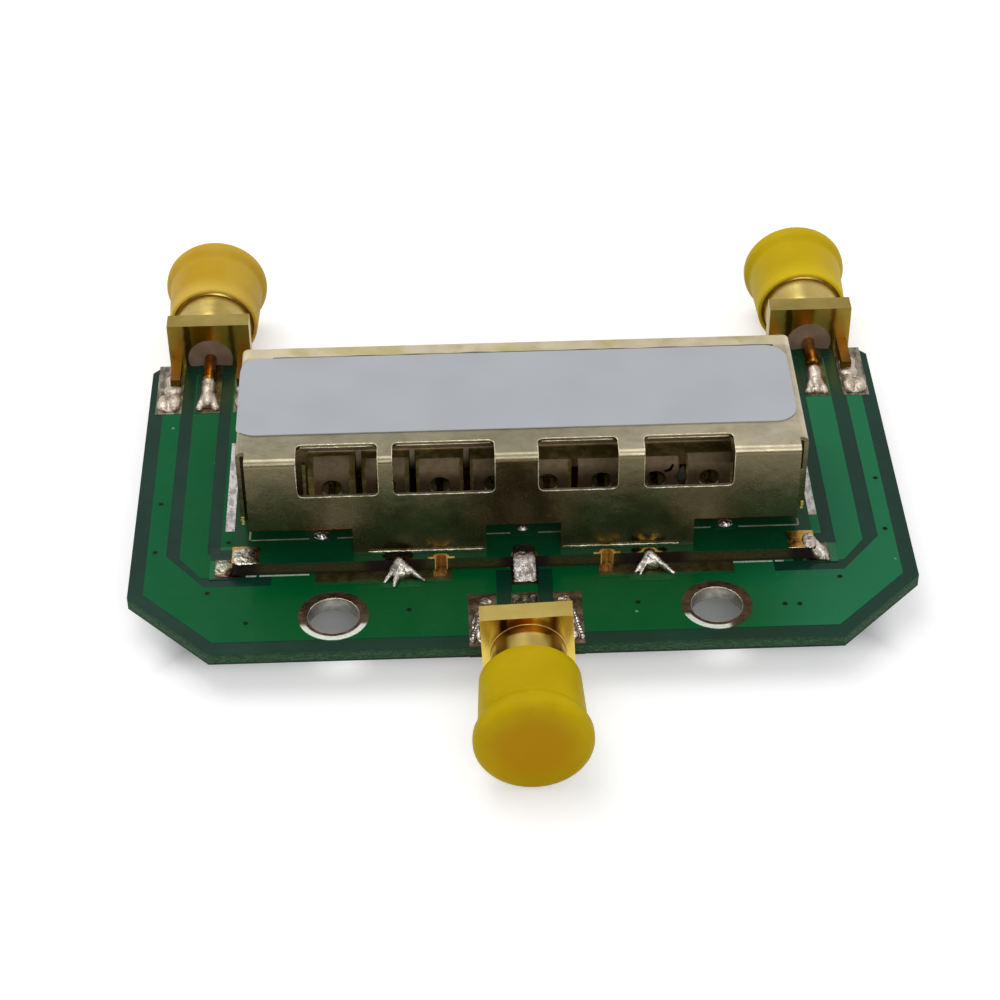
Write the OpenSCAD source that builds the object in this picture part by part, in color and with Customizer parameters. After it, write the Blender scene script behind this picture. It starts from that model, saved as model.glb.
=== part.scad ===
// Duplexer: a filter under a folded cover, on a carrier board with three coaxial ports.
// The origin is under the middle of the board, on the surface that the three cap rims stand on.
// The antenna port faces -Y and the two filter ports face +Y.

/* [Carrier board] */
// Width of the carrier board
board_w = 56; // [55.5:0.5:60]
// Depth of the carrier board
board_d = 33; // [33:0.5:36]
// Thickness of the carrier board
board_t = 1; // [0.8:0.1:1.6]
// Size of the cut at each front corner
board_cut = 6; // [2:0.5:7]
// Size of the cut at each rear corner
board_nick = 0.8; // [0.2:0.1:1.2]
// Distance between the two mounting holes
hole_pitch = 26.8; // [25:0.1:28]
// Radius of the mounting holes
hole_r = 1.85; // [1.5:0.05:2]
// Width of the land round a mounting hole
hole_land = 0.65; // [0.3:0.05:0.8]

/* [Filter board] */
// Width of the filter board
filter_w = 41.4; // [41:0.1:42]
// Depth of the filter board
filter_d = 15.05; // [15:0.05:15.5]
// Thickness of the filter board
filter_t = 1; // [0.8:0.1:1.2]
// Radius of the half-round holes in its front edge
half_hole_r = 0.45; // [0.35:0.05:0.5]

/* [Cover] */
// Height of the cover's top over the carrier board
cover_h = 9.45; // [9:0.05:11]
// Thickness of the cover's sheet
sheet_t = 0.3; // [0.2:0.05:0.35]
// Outer radius of the cover's bends
bend_r = 0.5; // [0.4:0.05:0.8]
// Length of the front and rear walls
wall_l = 38.7; // [38:0.1:39]
// Width of the cover over its end walls
ends_w = 40; // [39.8:0.1:40.2]
// Height over the filter board at which the raised stretches of wall end
raised_h = 2.25; // [1.5:0.05:3]
// Width of a window's cut in the top, from the front wall's face
window_d = 1.95; // [1.2:0.05:2.5]
// Height of a window's lower edge over the carrier board
window_sill = 6.25; // [5:0.05:7]

/* [Resonators] */
// Side of a resonator's square section
resonator_w = 3.4; // [3:0.05:3.45]
// Length of a resonator
resonator_l = 7.6; // [6:0.1:7.7]
// Distance between neighbouring resonators
resonator_pitch = 3.9; // [3.85:0.05:4]
// Radius of a resonator's hole
resonator_hole_r = 0.75; // [0.5:0.05:0.9]

/* [Connectors] */
// Side of the square flange
flange_w = 6.35; // [6:0.05:6.5]
// Thickness of the flange
flange_t = 1.5; // [1.2:0.1:2]
// Outer radius of the thread
thread_r = 3.12; // [3.05:0.01:3.15]
// Pitch of the thread
thread_pitch = 0.7056; // [0.6:0.0001:0.8]
// Length of the barrel in front of the flange
barrel_l = 7.5; // [7:0.1:7.6]
// Distance of each filter port from the board's middle
port_x = 23.5; // [23:0.1:24]
// Roll of the antenna connector in degrees, right side up
antenna_roll = 2.4; // [0:0.1:2.4]

/* [Caps] */
// Radius of a cap's rim
cap_rim_r = 4.05; // [4:0.05:4.5]
// Length of a cap's rim
cap_rim_l = 1.3; // [1.2:0.1:2]
// Distance from the flange to the end of a cap
cap_reach = 9.2; // [8.8:0.05:9.4]
// Distance from the flange to a cap's mouth
cap_mouth = 2.85; // [2.5:0.05:3.5]

/* [Hidden] */

smooth = 96;
fine = 48;
over = 1;

// Heights of the boards, from the space under the contact to its land
land_t = 0.05;
pin_r = 0.635;
axis_z = cap_rim_r;
board_top = axis_z - pin_r - land_t;
board_bottom = board_top - board_t;
filter_bottom = board_top + land_t;
filter_top = filter_bottom + filter_t;
filter_land = filter_top + land_t;
cover_top = board_top + cover_h;

// Carrier board
hole_y = -13;
antenna_port = [0, -board_d / 2, 0];
left_port = [-port_x, board_d / 2, 180];
right_port = [port_x, board_d / 2, 180];

// Filter board, its half-round holes and their lands, all from its own middle
filter_x = 0.1;
filter_front = -8.45;
filter_rear = filter_front + filter_d;
lining_t = 0.05;
half_holes = [-8.9, -5.9, 0, 5.9, 8.9];
edge_land = [1.9, 0.15];
half_hole_ring = 0.15;
middle_ring = 0.5;
corner_land_w = 1.9;
corner_land_y = [-8.35, -6.6];

// Lands under the cover's skirts, the lone drops of solder and the resonators' tabs
skirt_land = 0.25;
drop_x = 14.5;
drop_y = -5.4;
drop_land = 1.5;
tab_land = [2.7, 1.7];

// Cover
cover_front = -7.55;
cover_d = 13.55;
cover_rear = cover_front + cover_d;
end_y = [-6.3, 5.7];
end_foot_y = [-3.7, 2.8];
end_raise = 1.9;
skirt_x = [2.65, 12.1];
// Left and right edges of the windows, from the cover's middle
windows = [[-15.8, -10.1], [-9.1, -1.95], [1.05, 6.65], [8.45, 14.75]];
window_r = 0.45;

// Label, which reaches over the bend at its left end
label_t = 0.1;
label_y = [-4.5, 4.4];
label_right = 19.5;
label_r = 1.6;
// How far the wrapped end reaches, along the sheet and across it, and how far its edges stay in
label_wrap = 0.48;
label_wrap_x = 0.42;
label_inset = 0.49;

// Resonators, and how far each one's top edge is ground back
resonator_n = 8;
resonator_front = -2.4;
ground_back = [1.6, 1.2, 1.0, 0.8, 0.5, 0.5, 0.5, 0.8];
ground_slope = 0.4;
resonator_top = filter_land + resonator_w;
resonator_axis_z = filter_land + resonator_w / 2;
tab_w = 0.5;
tab_t = 0.15;
tab_l = 1.5;
tab_gap = 0.1;

// Strip across the resonators' tops, with fingers between those of the left half
strip_y = [-0.3, 0.16];
strip_t = 0.1;
finger_w = 0.4;
finger_l = 1.92;
finger_gaps = [1, 2, 3];
strip_split = 4;

// Chip capacitors between the resonators' tabs
chip = [1.6, 0.8, 0.5];
chip_y = -3.6;

// Connector, with z outward from the board's edge
leg = [0.76, 0.9, 3.2];
leg_x = 2.55;
leg_under = -0.495;
lower_leg_top = -1.875;
neck_r = 2.6;
thread_depth = 0.4;
thread_flat = 0.12;
thread_start = flange_t + 2.9;
barrel_end = flange_t + barrel_l;
barrel_lip = 0.3;
mouth_r = 2.3;
mouth_depth = 1.9;
face_z = barrel_end - mouth_depth;
insulator_r = 2.05;
flange_bore_r = 1.75;
flange_bore_l = 1.2;
tail_r = 0.47;
pin_l = 2.9;
pin_tip = 0.15;
socket_r = 0.47;
socket_depth = 3;
slot_w = 0.2;
slot_depth = 2;

// Cap, with z outward from the board's edge
cap_mouth_r = 3.48;
cap_neck_r = 3.7;
cap_bore_r = 3.2;
cap_bore_end = barrel_end + 0.25;
cap_cone_l = 0.6;
cap_round = 0.6;
cap_end = flange_t + cap_reach;

// Lands on the carrier board: at the ports, then in front of the filter board and beside it
port_pin_land = 0.95;
port_ground_land = [2, 4];
antenna_land_l = 5.3;
filter_land_l = 6.1;
front_land_x = [5.2, 14.9];
front_land_y = [-9.8, -7.3];
side_land_x = [20.1, 21.5];
side_land_y = [-3.65, 6.6];
corner_foot_x = 22.4;
corner_foot_y = [-8.9, -5.4];
tongue_x = [7.4, 10.4];
tongue_front = -10.3;

// Solder on the filter board
solder_r = 0.4;
fillet_rim = 0.1;
middle_solder_w = 1.8;
corner_solder_y = -7.4;
corner_solder_r = 1.3;
drop_h = 0.35;

// Solder at the ports: its start and end back from the board's edge, widths of foot and crest,
// heights of heel and toe
antenna_solder_y = [1.2, 5.2];
filter_solder_y = [2.2, 6];
pin_solder_w = [1.8, 0.8];
pin_solder_h = [0.9, 0.1];
leg_solder_w = [1.1, 0.9];
leg_solder_h = [0.5, 0.1];

// A port's own frame: z outward from the board's edge, y up, x across
module at_port(port) {
    translate([port[0], port[1], axis_z])
        rotate([90, 0, port[2]])
            children();
}

// A flat plate from its left, right, front and rear edges
module plate(left, right, front, rear, z, t) {
    translate([left, front, z])
        cube([right - left, rear - front, t]);
}

// Its child and the child's mirror image
module both_sides() {
    children();
    mirror([1, 0, 0])
        children();
}

// Carrier board, seen from above
module board_outline() {
    half_w = board_w / 2;
    half_d = board_d / 2;
    right = [
        [half_w - board_cut, -half_d], [half_w, board_cut - half_d],
        [half_w, half_d - board_nick], [half_w - board_nick, half_d]
    ];
    left = [for (i = [3:-1:0]) [-right[i][0], right[i][1]]];
    polygon(concat(right, left));
}

module carrier_board() {
    color("seagreen")
        translate([0, 0, board_bottom])
            difference() {
                linear_extrude(height = board_t)
                    board_outline();
                for (side = [-1, 1])
                    translate([side * hole_pitch / 2, hole_y, -over])
                        cylinder(r = hole_r, h = board_t + 2 * over, $fn = smooth);
            }
}

// Lands of one port, with y running in from the board's edge: ground on both faces, pin on top
module port_lands(port, l) {
    translate([port[0], port[1], 0])
        rotate([0, 0, port[2]]) {
            plate(-port_pin_land, port_pin_land, 0, l, board_top, land_t);
            for (z = [board_top, board_bottom - land_t])
                both_sides()
                    plate(port_ground_land[0], port_ground_land[1], 0, l, z, land_t);
        }
}

module hole_ring(z) {
    for (side = [-1, 1])
        translate([side * hole_pitch / 2, hole_y, z])
            difference() {
                cylinder(r = hole_r + hole_land, h = land_t, $fn = smooth);
                translate([0, 0, -over])
                    cylinder(r = hole_r, h = land_t + 2 * over, $fn = smooth);
            }
}

module carrier_pads() {
    color("silver") {
        port_lands(antenna_port, antenna_land_l);
        port_lands(left_port, filter_land_l);
        port_lands(right_port, filter_land_l);
        hole_ring(board_top);
        hole_ring(board_bottom - land_t);
        translate([filter_x, 0, 0]) {
            both_sides() {
                plate(front_land_x[0], front_land_x[1], front_land_y[0], front_land_y[1], board_top, land_t);
                plate(side_land_x[0], side_land_x[1], side_land_y[0], side_land_y[1], board_top, land_t);
                plate(side_land_x[0], corner_foot_x, corner_foot_y[0], corner_foot_y[1], board_top, land_t);
                plate(tongue_x[0], tongue_x[1], tongue_front, front_land_y[0], board_top, land_t);
            }
            plate(-edge_land[0] / 2, edge_land[0] / 2, tongue_front, front_land_y[1], board_top, land_t);
        }
    }
}

module filter_board() {
    color("darkgreen")
        translate([filter_x, 0, filter_bottom])
            difference() {
                plate(-filter_w / 2, filter_w / 2, filter_front, filter_rear, 0, filter_t);
                for (x = half_holes)
                    translate([x, filter_front, -over])
                        cylinder(r = half_hole_r, h = filter_t + 2 * over, $fn = fine);
            }
}

// Lining of one half-round hole with the ring and the strip of land on top
module half_hole_pad(ring) {
    intersection() {
        difference() {
            union() {
                cylinder(r = half_hole_r, h = filter_t + land_t, $fn = fine);
                translate([0, 0, filter_t])
                    cylinder(r = half_hole_r + ring, h = land_t, $fn = fine);
                plate(-edge_land[0] / 2, edge_land[0] / 2, 0, edge_land[1], filter_t, land_t);
            }
            translate([0, 0, -over])
                cylinder(r = half_hole_r - lining_t, h = filter_t + land_t + 2 * over, $fn = fine);
        }
        plate(-edge_land[0], edge_land[0], 0, edge_land[0], -over, filter_t + 2 * over);
    }
}

module filter_pads() {
    resonators_w = (resonator_n - 1) * resonator_pitch + resonator_w;
    color("gold")
        translate([filter_x, 0, 0]) {
            for (x = half_holes)
                translate([x, filter_front, filter_bottom])
                    half_hole_pad(x == 0 ? middle_ring : half_hole_ring);
            both_sides() {
                plate(filter_w / 2 - corner_land_w, filter_w / 2,
                    corner_land_y[0], corner_land_y[1], filter_top, land_t);
                plate(filter_w / 2, filter_w / 2 + land_t,
                    corner_land_y[0], corner_land_y[1], filter_bottom, filter_t + land_t);
                plate(ends_w / 2 - 2 * sheet_t, ends_w / 2 + sheet_t,
                    end_foot_y[0], end_foot_y[1], filter_top, land_t);
                plate(skirt_x[0], skirt_x[1], cover_front - skirt_land, cover_front + 2 * skirt_land,
                    filter_top, land_t);
                plate(skirt_x[0], skirt_x[1], cover_rear - 2 * skirt_land, cover_rear + skirt_land,
                    filter_top, land_t);
            }
            for (x = [-drop_x, 0, drop_x])
                plate(x - drop_land / 2, x + drop_land / 2, drop_y - drop_land / 2, drop_y + drop_land / 2,
                    filter_top, land_t);
            plate(-resonators_w / 2, resonators_w / 2, resonator_front, resonator_front + resonator_l,
                filter_top, land_t);
            for (i = [1:resonator_n])
                plate(resonator_x(i) - tab_land[0] / 2, resonator_x(i) + tab_land[0] / 2,
                    resonator_front - tab_gap - tab_land[1], resonator_front - tab_gap, filter_top, land_t);
        }
}

// Section of a sheet bent down at both ends, with its foot on the x axis
module bent_section(l, h, t, r) {
    difference() {
        union() {
            square([l, h - r]);
            translate([r, 0])
                square([l - 2 * r, h]);
            for (x = [r, l - r])
                translate([x, h - r])
                    circle(r = r, $fn = fine);
        }
        translate([t, -over])
            square([l - 2 * t, h - r + over]);
        translate([r, -over])
            square([l - 2 * r, h - t + over]);
        for (x = [r, l - r])
            translate([x, h - r])
                circle(r = r - t, $fn = fine);
    }
}

// Window: a cut down the front wall and one back into the top, each with round corners
module window_cut(left, right) {
    w = right - left;
    translate([left, cover_front - over, board_top + window_sill]) {
        rotate([90, 0, 0])
            mirror([0, 0, 1])
                linear_extrude(height = over + window_d / 2)
                    rounded_slot(w, cover_h - window_sill - bend_r, window_r);
        translate([0, 0, 2 * window_r])
            linear_extrude(height = cover_h)
                translate([0, over + window_d])
                    mirror([0, 1, 0])
                        rounded_slot(w, over + window_d, window_r);
    }
}

// Rectangle with its two corners on the x axis rounded
module rounded_slot(w, d, r) {
    translate([r, 0])
        square([w - 2 * r, d]);
    translate([0, r])
        square([w, d - r]);
    for (x = [r, w - r])
        translate([x, r])
            circle(r = r, $fn = fine);
}

module shield_cover() {
    sheet_h = cover_top - filter_land;
    color("tan")
        translate([filter_x, 0, 0])
            difference() {
                union() {
                    translate([-wall_l / 2, cover_front, filter_land])
                        rotate([90, 0, 90])
                            linear_extrude(height = wall_l)
                                bent_section(cover_d, sheet_h, sheet_t, bend_r);
                    translate([-ends_w / 2, end_y[1], filter_land])
                        rotate([90, 0, 0])
                            linear_extrude(height = end_y[1] - end_y[0])
                                bent_section(ends_w, sheet_h, sheet_t, bend_r);
                }
                for (window = windows)
                    window_cut(window[0], window[1]);
                raised_walls();
                raised_ends();
            }
}

// What is cut from the foot of the long walls between and beside the skirts
module raised_walls() {
    low_z = filter_land - over;
    cut_h = filter_top + raised_h - low_z;
    for (y = [cover_front, cover_rear]) {
        front = y - 2 * sheet_t;
        rear = y + 2 * sheet_t;
        plate(-skirt_x[0], skirt_x[0], front, rear, low_z, cut_h);
        both_sides()
            plate(skirt_x[1], wall_l / 2 + sheet_t / 2, front, rear, low_z, cut_h);
    }
}

// What is cut from the foot of the end walls in front of and behind their feet
module raised_ends() {
    inner = wall_l / 2;
    outer = ends_w / 2 + over;
    low_z = filter_land - over;
    both_sides() {
        plate(inner, outer, end_y[0] - sheet_t, end_foot_y[0], low_z, end_raise + over);
        plate(inner, outer, end_foot_y[1], end_y[1] + sheet_t, low_z, end_raise + over);
    }
}

// Label: flat on the top up to where the left bend starts, then round the bend
module cover_label() {
    bend_x = bend_r - ends_w / 2;
    depth = label_y[1] - label_y[0];
    color("lightgray")
        translate([filter_x, label_y[0], 0]) {
            translate([bend_x, 0, cover_top])
                linear_extrude(height = label_t)
                    intersection() {
                        translate([-label_wrap, 0])
                            rounded_plate(label_right - bend_x + label_wrap, depth, label_r);
                        square([label_right - bend_x, depth]);
                    }
            translate([bend_x, label_inset, cover_top - bend_r])
                rotate([90, 0, 0])
                    mirror([0, 0, 1])
                        linear_extrude(height = depth - 2 * label_inset)
                            intersection() {
                                difference() {
                                    circle(r = bend_r + label_t, $fn = smooth);
                                    circle(r = bend_r, $fn = smooth);
                                }
                                translate([-label_wrap_x, 0])
                                    square([label_wrap_x, bend_r + 2 * label_t]);
                            }
        }
}

module rounded_plate(w, d, r) {
    translate([r, 0])
        square([w - 2 * r, d]);
    translate([0, r])
        square([w, d - 2 * r]);
    for (x = [r, w - r], y = [r, d - r])
        translate([x, y])
            circle(r = r, $fn = fine);
}

function resonator_x(i) = (i - (resonator_n + 1) / 2) * resonator_pitch;

// One resonator: a square block with a hole along it and its top edge ground back at the open end
module resonator(i) {
    back = ground_back[i - 1];
    half = resonator_w / 2;
    color("dimgray")
        translate([filter_x + resonator_x(i), resonator_front, resonator_axis_z])
            difference() {
                rotate([90, 0, 90])
                    translate([0, 0, -half])
                        linear_extrude(height = resonator_w)
                            polygon([
                                [0, -half], [resonator_l, -half], [resonator_l, half],
                                [back, half], [0, half - back * ground_slope]
                            ]);
                translate([0, -over, 0])
                    rotate([-90, 0, 0])
                        cylinder(r = resonator_hole_r, h = resonator_l + 2 * over, $fn = fine);
            }
}

// Contact tab: a strip that lies in the hole's lower side and bends down to the board
module resonator_tab() {
    floor_z = resonator_axis_z - resonator_hole_r;
    outer = -tab_gap - tab_t;
    translate([0, resonator_front, 0]) {
        intersection() {
            plate(-tab_w / 2, tab_w / 2, 0, tab_l, floor_z - over, over + 2 * tab_t);
            translate([0, -over, resonator_axis_z])
                rotate([-90, 0, 0])
                    cylinder(r = resonator_hole_r, h = tab_l + 2 * over, $fn = fine);
        }
        plate(-tab_w / 2, tab_w / 2, outer, 0, floor_z + tab_t, tab_t);
        plate(-tab_w / 2, tab_w / 2, outer, -tab_gap, filter_land, floor_z + 2 * tab_t - filter_land);
    }
}

module resonator_tabs() {
    color("silver")
        for (i = [1:resonator_n])
            translate([filter_x + resonator_x(i), 0, 0])
                resonator_tab();
}

// Strip over the tops of a run of resonators
module top_strip(first, last) {
    left = resonator_x(first) - resonator_w / 2;
    right = resonator_x(last) + resonator_w / 2;
    plate(left, right, strip_y[0], strip_y[1], resonator_top, strip_t);
}

module ground_comb() {
    color("silver")
        translate([filter_x, 0, 0]) {
            top_strip(1, strip_split);
            for (i = finger_gaps) {
                left = resonator_x(i + 0.5) - finger_w / 2;
                translate([left, strip_y[0], resonator_top + strip_t - finger_l])
                    cube([finger_w, strip_t, finger_l]);
            }
        }
}

module ground_strip() {
    color("silver")
        translate([filter_x, 0, 0])
            top_strip(strip_split + 1, resonator_n);
}

module coupling_capacitors() {
    color("tan")
        translate([filter_x, 0, 0])
            for (i = [1:resonator_n - 1])
                translate([resonator_x(i + 0.5) - chip[0] / 2, chip_y - chip[1] / 2, filter_land])
                    cube(chip);
}

// Solder round a half-round hole: a hollow-sided foot in front of the edge and a core in the hole
module half_hole_fillet() {
    h = filter_t + land_t;
    foot_r = solder_r + h - fillet_rim;
    intersection() {
        rotate_extrude($fn = fine)
            difference() {
                square([foot_r, h]);
                translate([foot_r, h])
                    circle(r = h - fillet_rim, $fn = fine);
            }
        union() {
            cylinder(r = half_hole_r - lining_t, h = h, $fn = fine);
            plate(-foot_r, foot_r, -foot_r, 0, 0, h);
        }
    }
}

// Solder tongue: a section across and a section along, both standing on the land
module tongue(w, crest, l, heel, toe) {
    intersection() {
        rotate([90, 0, 0])
            linear_extrude(height = l)
                polygon([[-w / 2, 0], [w / 2, 0], [crest / 2, heel], [-crest / 2, heel]]);
        rotate([90, 0, 90])
            translate([0, 0, -w / 2])
                linear_extrude(height = w)
                    polygon([[-l, 0], [0, 0], [0, heel], [-l, toe]]);
    }
}

// Low round drop with the given radius and height
module drop(r, h) {
    ball_r = (r * r + h * h) / (2 * h);
    intersection() {
        translate([0, 0, h - ball_r])
            sphere(r = ball_r, $fn = smooth);
        cylinder(r = r + over, h = h + over, $fn = smooth);
    }
}

module filter_solder() {
    h = filter_t + land_t;
    color("gainsboro")
        translate([filter_x, 0, 0]) {
            for (x = [half_holes[0], half_holes[4]])
                translate([x, filter_front, filter_bottom])
                    half_hole_fillet();
            translate([half_holes[2], filter_front, filter_bottom]) {
                tongue(middle_solder_w, 2 * solder_r, filter_front - tongue_front, h, fillet_rim);
                intersection() {
                    cylinder(r = half_hole_r - lining_t, h = h, $fn = fine);
                    plate(-over, over, 0, over, 0, h);
                }
            }
            both_sides()
                translate([filter_w / 2 + land_t, corner_solder_y, filter_bottom])
                    intersection() {
                        cylinder(r1 = corner_solder_r, r2 = solder_r, h = h, $fn = fine);
                        plate(0, corner_solder_r, -corner_solder_r, corner_solder_r, 0, h);
                    }
            for (x = [-drop_x, 0, drop_x])
                translate([x, drop_y, filter_land])
                    drop(drop_land / 2, drop_h);
        }
}

// One leg of a connector: face 1 is on top of the board and face -1 is below it
module connector_leg(side, face) {
    y = face > 0 ? leg_under : lower_leg_top - leg[1];
    translate([side * leg_x - leg[0] / 2, y, -leg[2]])
        cube(leg);
}

// Mound of solder in a port's frame, on the board's top face (1) or its lower face (-1)
module port_mound(x, face, span, w, h) {
    land_y = face > 0 ? board_top + land_t - axis_z : board_bottom - land_t - axis_z;
    translate([x, land_y, -span[0]])
        rotate([0, 0, face > 0 ? 0 : 180])
            rotate([-90, 0, 0])
                rotate([0, 0, 180])
                    tongue(w[0], w[1], span[1] - span[0], h[0], h[1]);
}

// Solder of one port: a mound along the pin and one along each leg, cut where the metal is
module port_solder(port, roll, span) {
    color("gainsboro")
        at_port(port) {
            difference() {
                port_mound(0, 1, span, pin_solder_w, pin_solder_h);
                contact_rod();
            }
            for (side = [-1, 1], face = [-1, 1])
                difference() {
                    port_mound(side * leg_x, face, span, leg_solder_w, leg_solder_h);
                    rotate([0, 0, roll])
                        connector_leg(side, face);
                }
        }
}

// Half section of the barrel: neck, ridges of the thread and lip
module barrel_section() {
    root_r = thread_r - thread_depth;
    ridges = floor((barrel_end - barrel_lip - thread_start) / thread_pitch);
    crest = (thread_pitch - thread_flat) / 2;
    polygon(concat(
        [[0, flange_t / 2], [neck_r, flange_t / 2], [neck_r, thread_start]],
        [for (i = [0:ridges - 1], p = [
                [root_r, 0], [thread_r, crest], [thread_r, crest + thread_flat]
            ]) [p[0], thread_start + i * thread_pitch + p[1]]],
        [
            [root_r, thread_start + ridges * thread_pitch],
            [thread_r - barrel_lip / 2, thread_start + ridges * thread_pitch + barrel_lip / 2],
            [root_r, barrel_end], [0, barrel_end]
        ]
    ));
}

module connector(port, roll) {
    color("goldenrod")
        at_port(port)
            rotate([0, 0, roll])
                difference() {
                    union() {
                        translate([-flange_w / 2, -flange_w / 2, 0])
                            cube([flange_w, flange_w, flange_t]);
                        rotate_extrude($fn = smooth)
                            barrel_section();
                        for (side = [-1, 1], face = [-1, 1])
                            connector_leg(side, face);
                    }
                    insulator_space(over);
                    translate([0, 0, face_z])
                        cylinder(r = mouth_r, h = mouth_depth + over, $fn = smooth);
                }
}

// The stepped bore that the insulator fills, run out past its start by the given length
module insulator_space(out) {
    translate([0, 0, -out])
        cylinder(r = flange_bore_r, h = flange_bore_l + out, $fn = smooth);
    translate([0, 0, flange_bore_l])
        cylinder(r = insulator_r, h = face_z - flange_bore_l, $fn = smooth);
}

module insulator(port) {
    color("white")
        at_port(port)
            difference() {
                insulator_space(0);
                contact_rod();
            }
}

// Rod of the centre contact: its thinner tail over the board, then the part in the insulator
module contact_rod() {
    translate([0, 0, -pin_l])
        cylinder(r1 = tail_r - pin_tip, r2 = tail_r, h = pin_tip, $fn = fine);
    translate([0, 0, pin_tip - pin_l])
        cylinder(r = tail_r, h = pin_l - pin_tip + flange_bore_l, $fn = fine);
    translate([0, 0, flange_bore_l])
        cylinder(r = pin_r, h = face_z - flange_bore_l, $fn = fine);
}

module contact(port) {
    color("gold")
        at_port(port)
            difference() {
                contact_rod();
                translate([0, 0, face_z - socket_depth])
                    cylinder(r = socket_r, h = socket_depth + over, $fn = fine);
                for (turn = [0, 90])
                    rotate([0, 0, turn])
                        translate([-slot_w / 2, -pin_r - over, face_z - slot_depth])
                            cube([slot_w, 2 * (pin_r + over), slot_depth + over]);
            }
}

// Dust cap: a soft tube with a thicker rim at its closed end
module cap(port, shade) {
    rim_start = cap_end - cap_rim_l;
    color(shade)
        at_port(port)
            rotate_extrude($fn = smooth)
                difference() {
                    union() {
                        polygon([
                            [0, flange_t + cap_mouth], [cap_mouth_r, flange_t + cap_mouth],
                            [cap_neck_r, rim_start - cap_cone_l], [cap_rim_r, rim_start],
                            [cap_rim_r, cap_end - cap_round], [cap_rim_r - cap_round, cap_end - cap_round],
                            [cap_rim_r - cap_round, cap_end], [0, cap_end]
                        ]);
                        translate([cap_rim_r - cap_round, cap_end - cap_round])
                            circle(r = cap_round, $fn = fine);
                    }
                    square([cap_bore_r, cap_bore_end]);
                }
}

carrier_board();
carrier_pads();
filter_board();
filter_pads();
shield_cover();
cover_label();
resonator(1);  // resonator_1
resonator(2);  // resonator_2
resonator(3);  // resonator_3
resonator(4);  // resonator_4
resonator(5);  // resonator_5
resonator(6);  // resonator_6
resonator(7);  // resonator_7
resonator(8);  // resonator_8
resonator_tabs();
ground_comb();
ground_strip();
coupling_capacitors();
filter_solder();
port_solder(antenna_port, antenna_roll, antenna_solder_y);  // antenna_solder
port_solder(left_port, 0, filter_solder_y);  // left_solder
port_solder(right_port, 0, filter_solder_y);  // right_solder
connector(antenna_port, antenna_roll);  // antenna_connector
insulator(antenna_port);  // antenna_insulator
contact(antenna_port);  // antenna_contact
cap(antenna_port, "gold");  // antenna_cap
connector(left_port, 0);  // left_connector
insulator(left_port);  // left_insulator
contact(left_port);  // left_contact
cap(left_port, "orange");  // left_cap
connector(right_port, 0);  // right_connector
insulator(right_port);  // right_insulator
contact(right_port);  // right_contact
cap(right_port, "yellow");  // right_cap
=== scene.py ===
import math

import bpy
import bmesh
from mathutils import Matrix, Vector, noise


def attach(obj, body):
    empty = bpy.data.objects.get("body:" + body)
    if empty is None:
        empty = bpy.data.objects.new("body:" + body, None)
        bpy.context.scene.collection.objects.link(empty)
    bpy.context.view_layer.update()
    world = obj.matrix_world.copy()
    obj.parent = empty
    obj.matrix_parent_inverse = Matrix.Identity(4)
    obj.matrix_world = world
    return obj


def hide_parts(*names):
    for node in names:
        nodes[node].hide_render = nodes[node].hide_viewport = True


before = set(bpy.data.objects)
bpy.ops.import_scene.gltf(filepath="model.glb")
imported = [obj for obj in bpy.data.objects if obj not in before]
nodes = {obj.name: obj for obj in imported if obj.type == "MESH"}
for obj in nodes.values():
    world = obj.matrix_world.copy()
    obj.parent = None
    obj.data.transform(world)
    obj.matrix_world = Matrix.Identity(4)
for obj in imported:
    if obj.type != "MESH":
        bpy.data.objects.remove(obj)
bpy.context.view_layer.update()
MM = 0.001
MODULE = "module"

# Heights and places of the CAD model, in millimetres
AXIS_Z = 4.05
BOARD_TOP = 3.365
BOARD_BOTTOM = 2.365
LAND = 0.05
LAND_TOP = BOARD_TOP + LAND
FILTER_TOP = 4.415
FILTER_LAND = 4.465
COVER_TOP = 12.815
FILTER_X = 0.1
FILTER_FRONT = -8.45
HALF_W, HALF_D = 28.0, 16.5
HOLE_X, HOLE_Y, HOLE_R = 13.4, -13.0, 1.85
RESONATOR_PITCH = 3.9
RESONATOR_FRONT = -2.4
RESONATOR_AXIS_Z = 6.165
RESONATOR_TOP = 7.865
PORT_X = 23.5
FLANGE_T = 1.5
WALL_FOOT = FILTER_TOP + 2.25
COVER_FRONT, COVER_HALF_W, SHEET, BEND = -7.55, 20.0, 0.3, 0.5
PORTS = {
    "antenna": ((0.0, -HALF_D), 0),
    "left": ((-PORT_X, HALF_D), 180),
    "right": ((PORT_X, HALF_D), 180),
}


def resonator_x(i):
    """Middle of resonator i. A half is the gap after a resonator."""
    return FILTER_X + (i - 4.5) * RESONATOR_PITCH


def srgb(r, g, b):
    """Linear colour from 8-bit sRGB values."""
    def linear(v):
        v /= 255
        return v / 12.92 if v <= 0.04045 else ((v + 0.055) / 1.055) ** 2.4
    return (linear(r), linear(g), linear(b), 1)


def operator(operation):
    """Method that adds a math node."""
    return lambda a, b=0.0: a.graph.math(operation, a, b)


class Value:
    """Output of a node. Arithmetic on it adds nodes, and | takes the larger of two."""

    def __init__(self, graph, socket):
        self.graph, self.socket = graph, socket

    __add__ = operator("ADD")
    __sub__ = operator("SUBTRACT")
    __mul__ = operator("MULTIPLY")
    __or__ = operator("MAXIMUM")
    __abs__ = operator("ABSOLUTE")

    def __rsub__(self, other):
        return self.graph.math("SUBTRACT", other, self)


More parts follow.
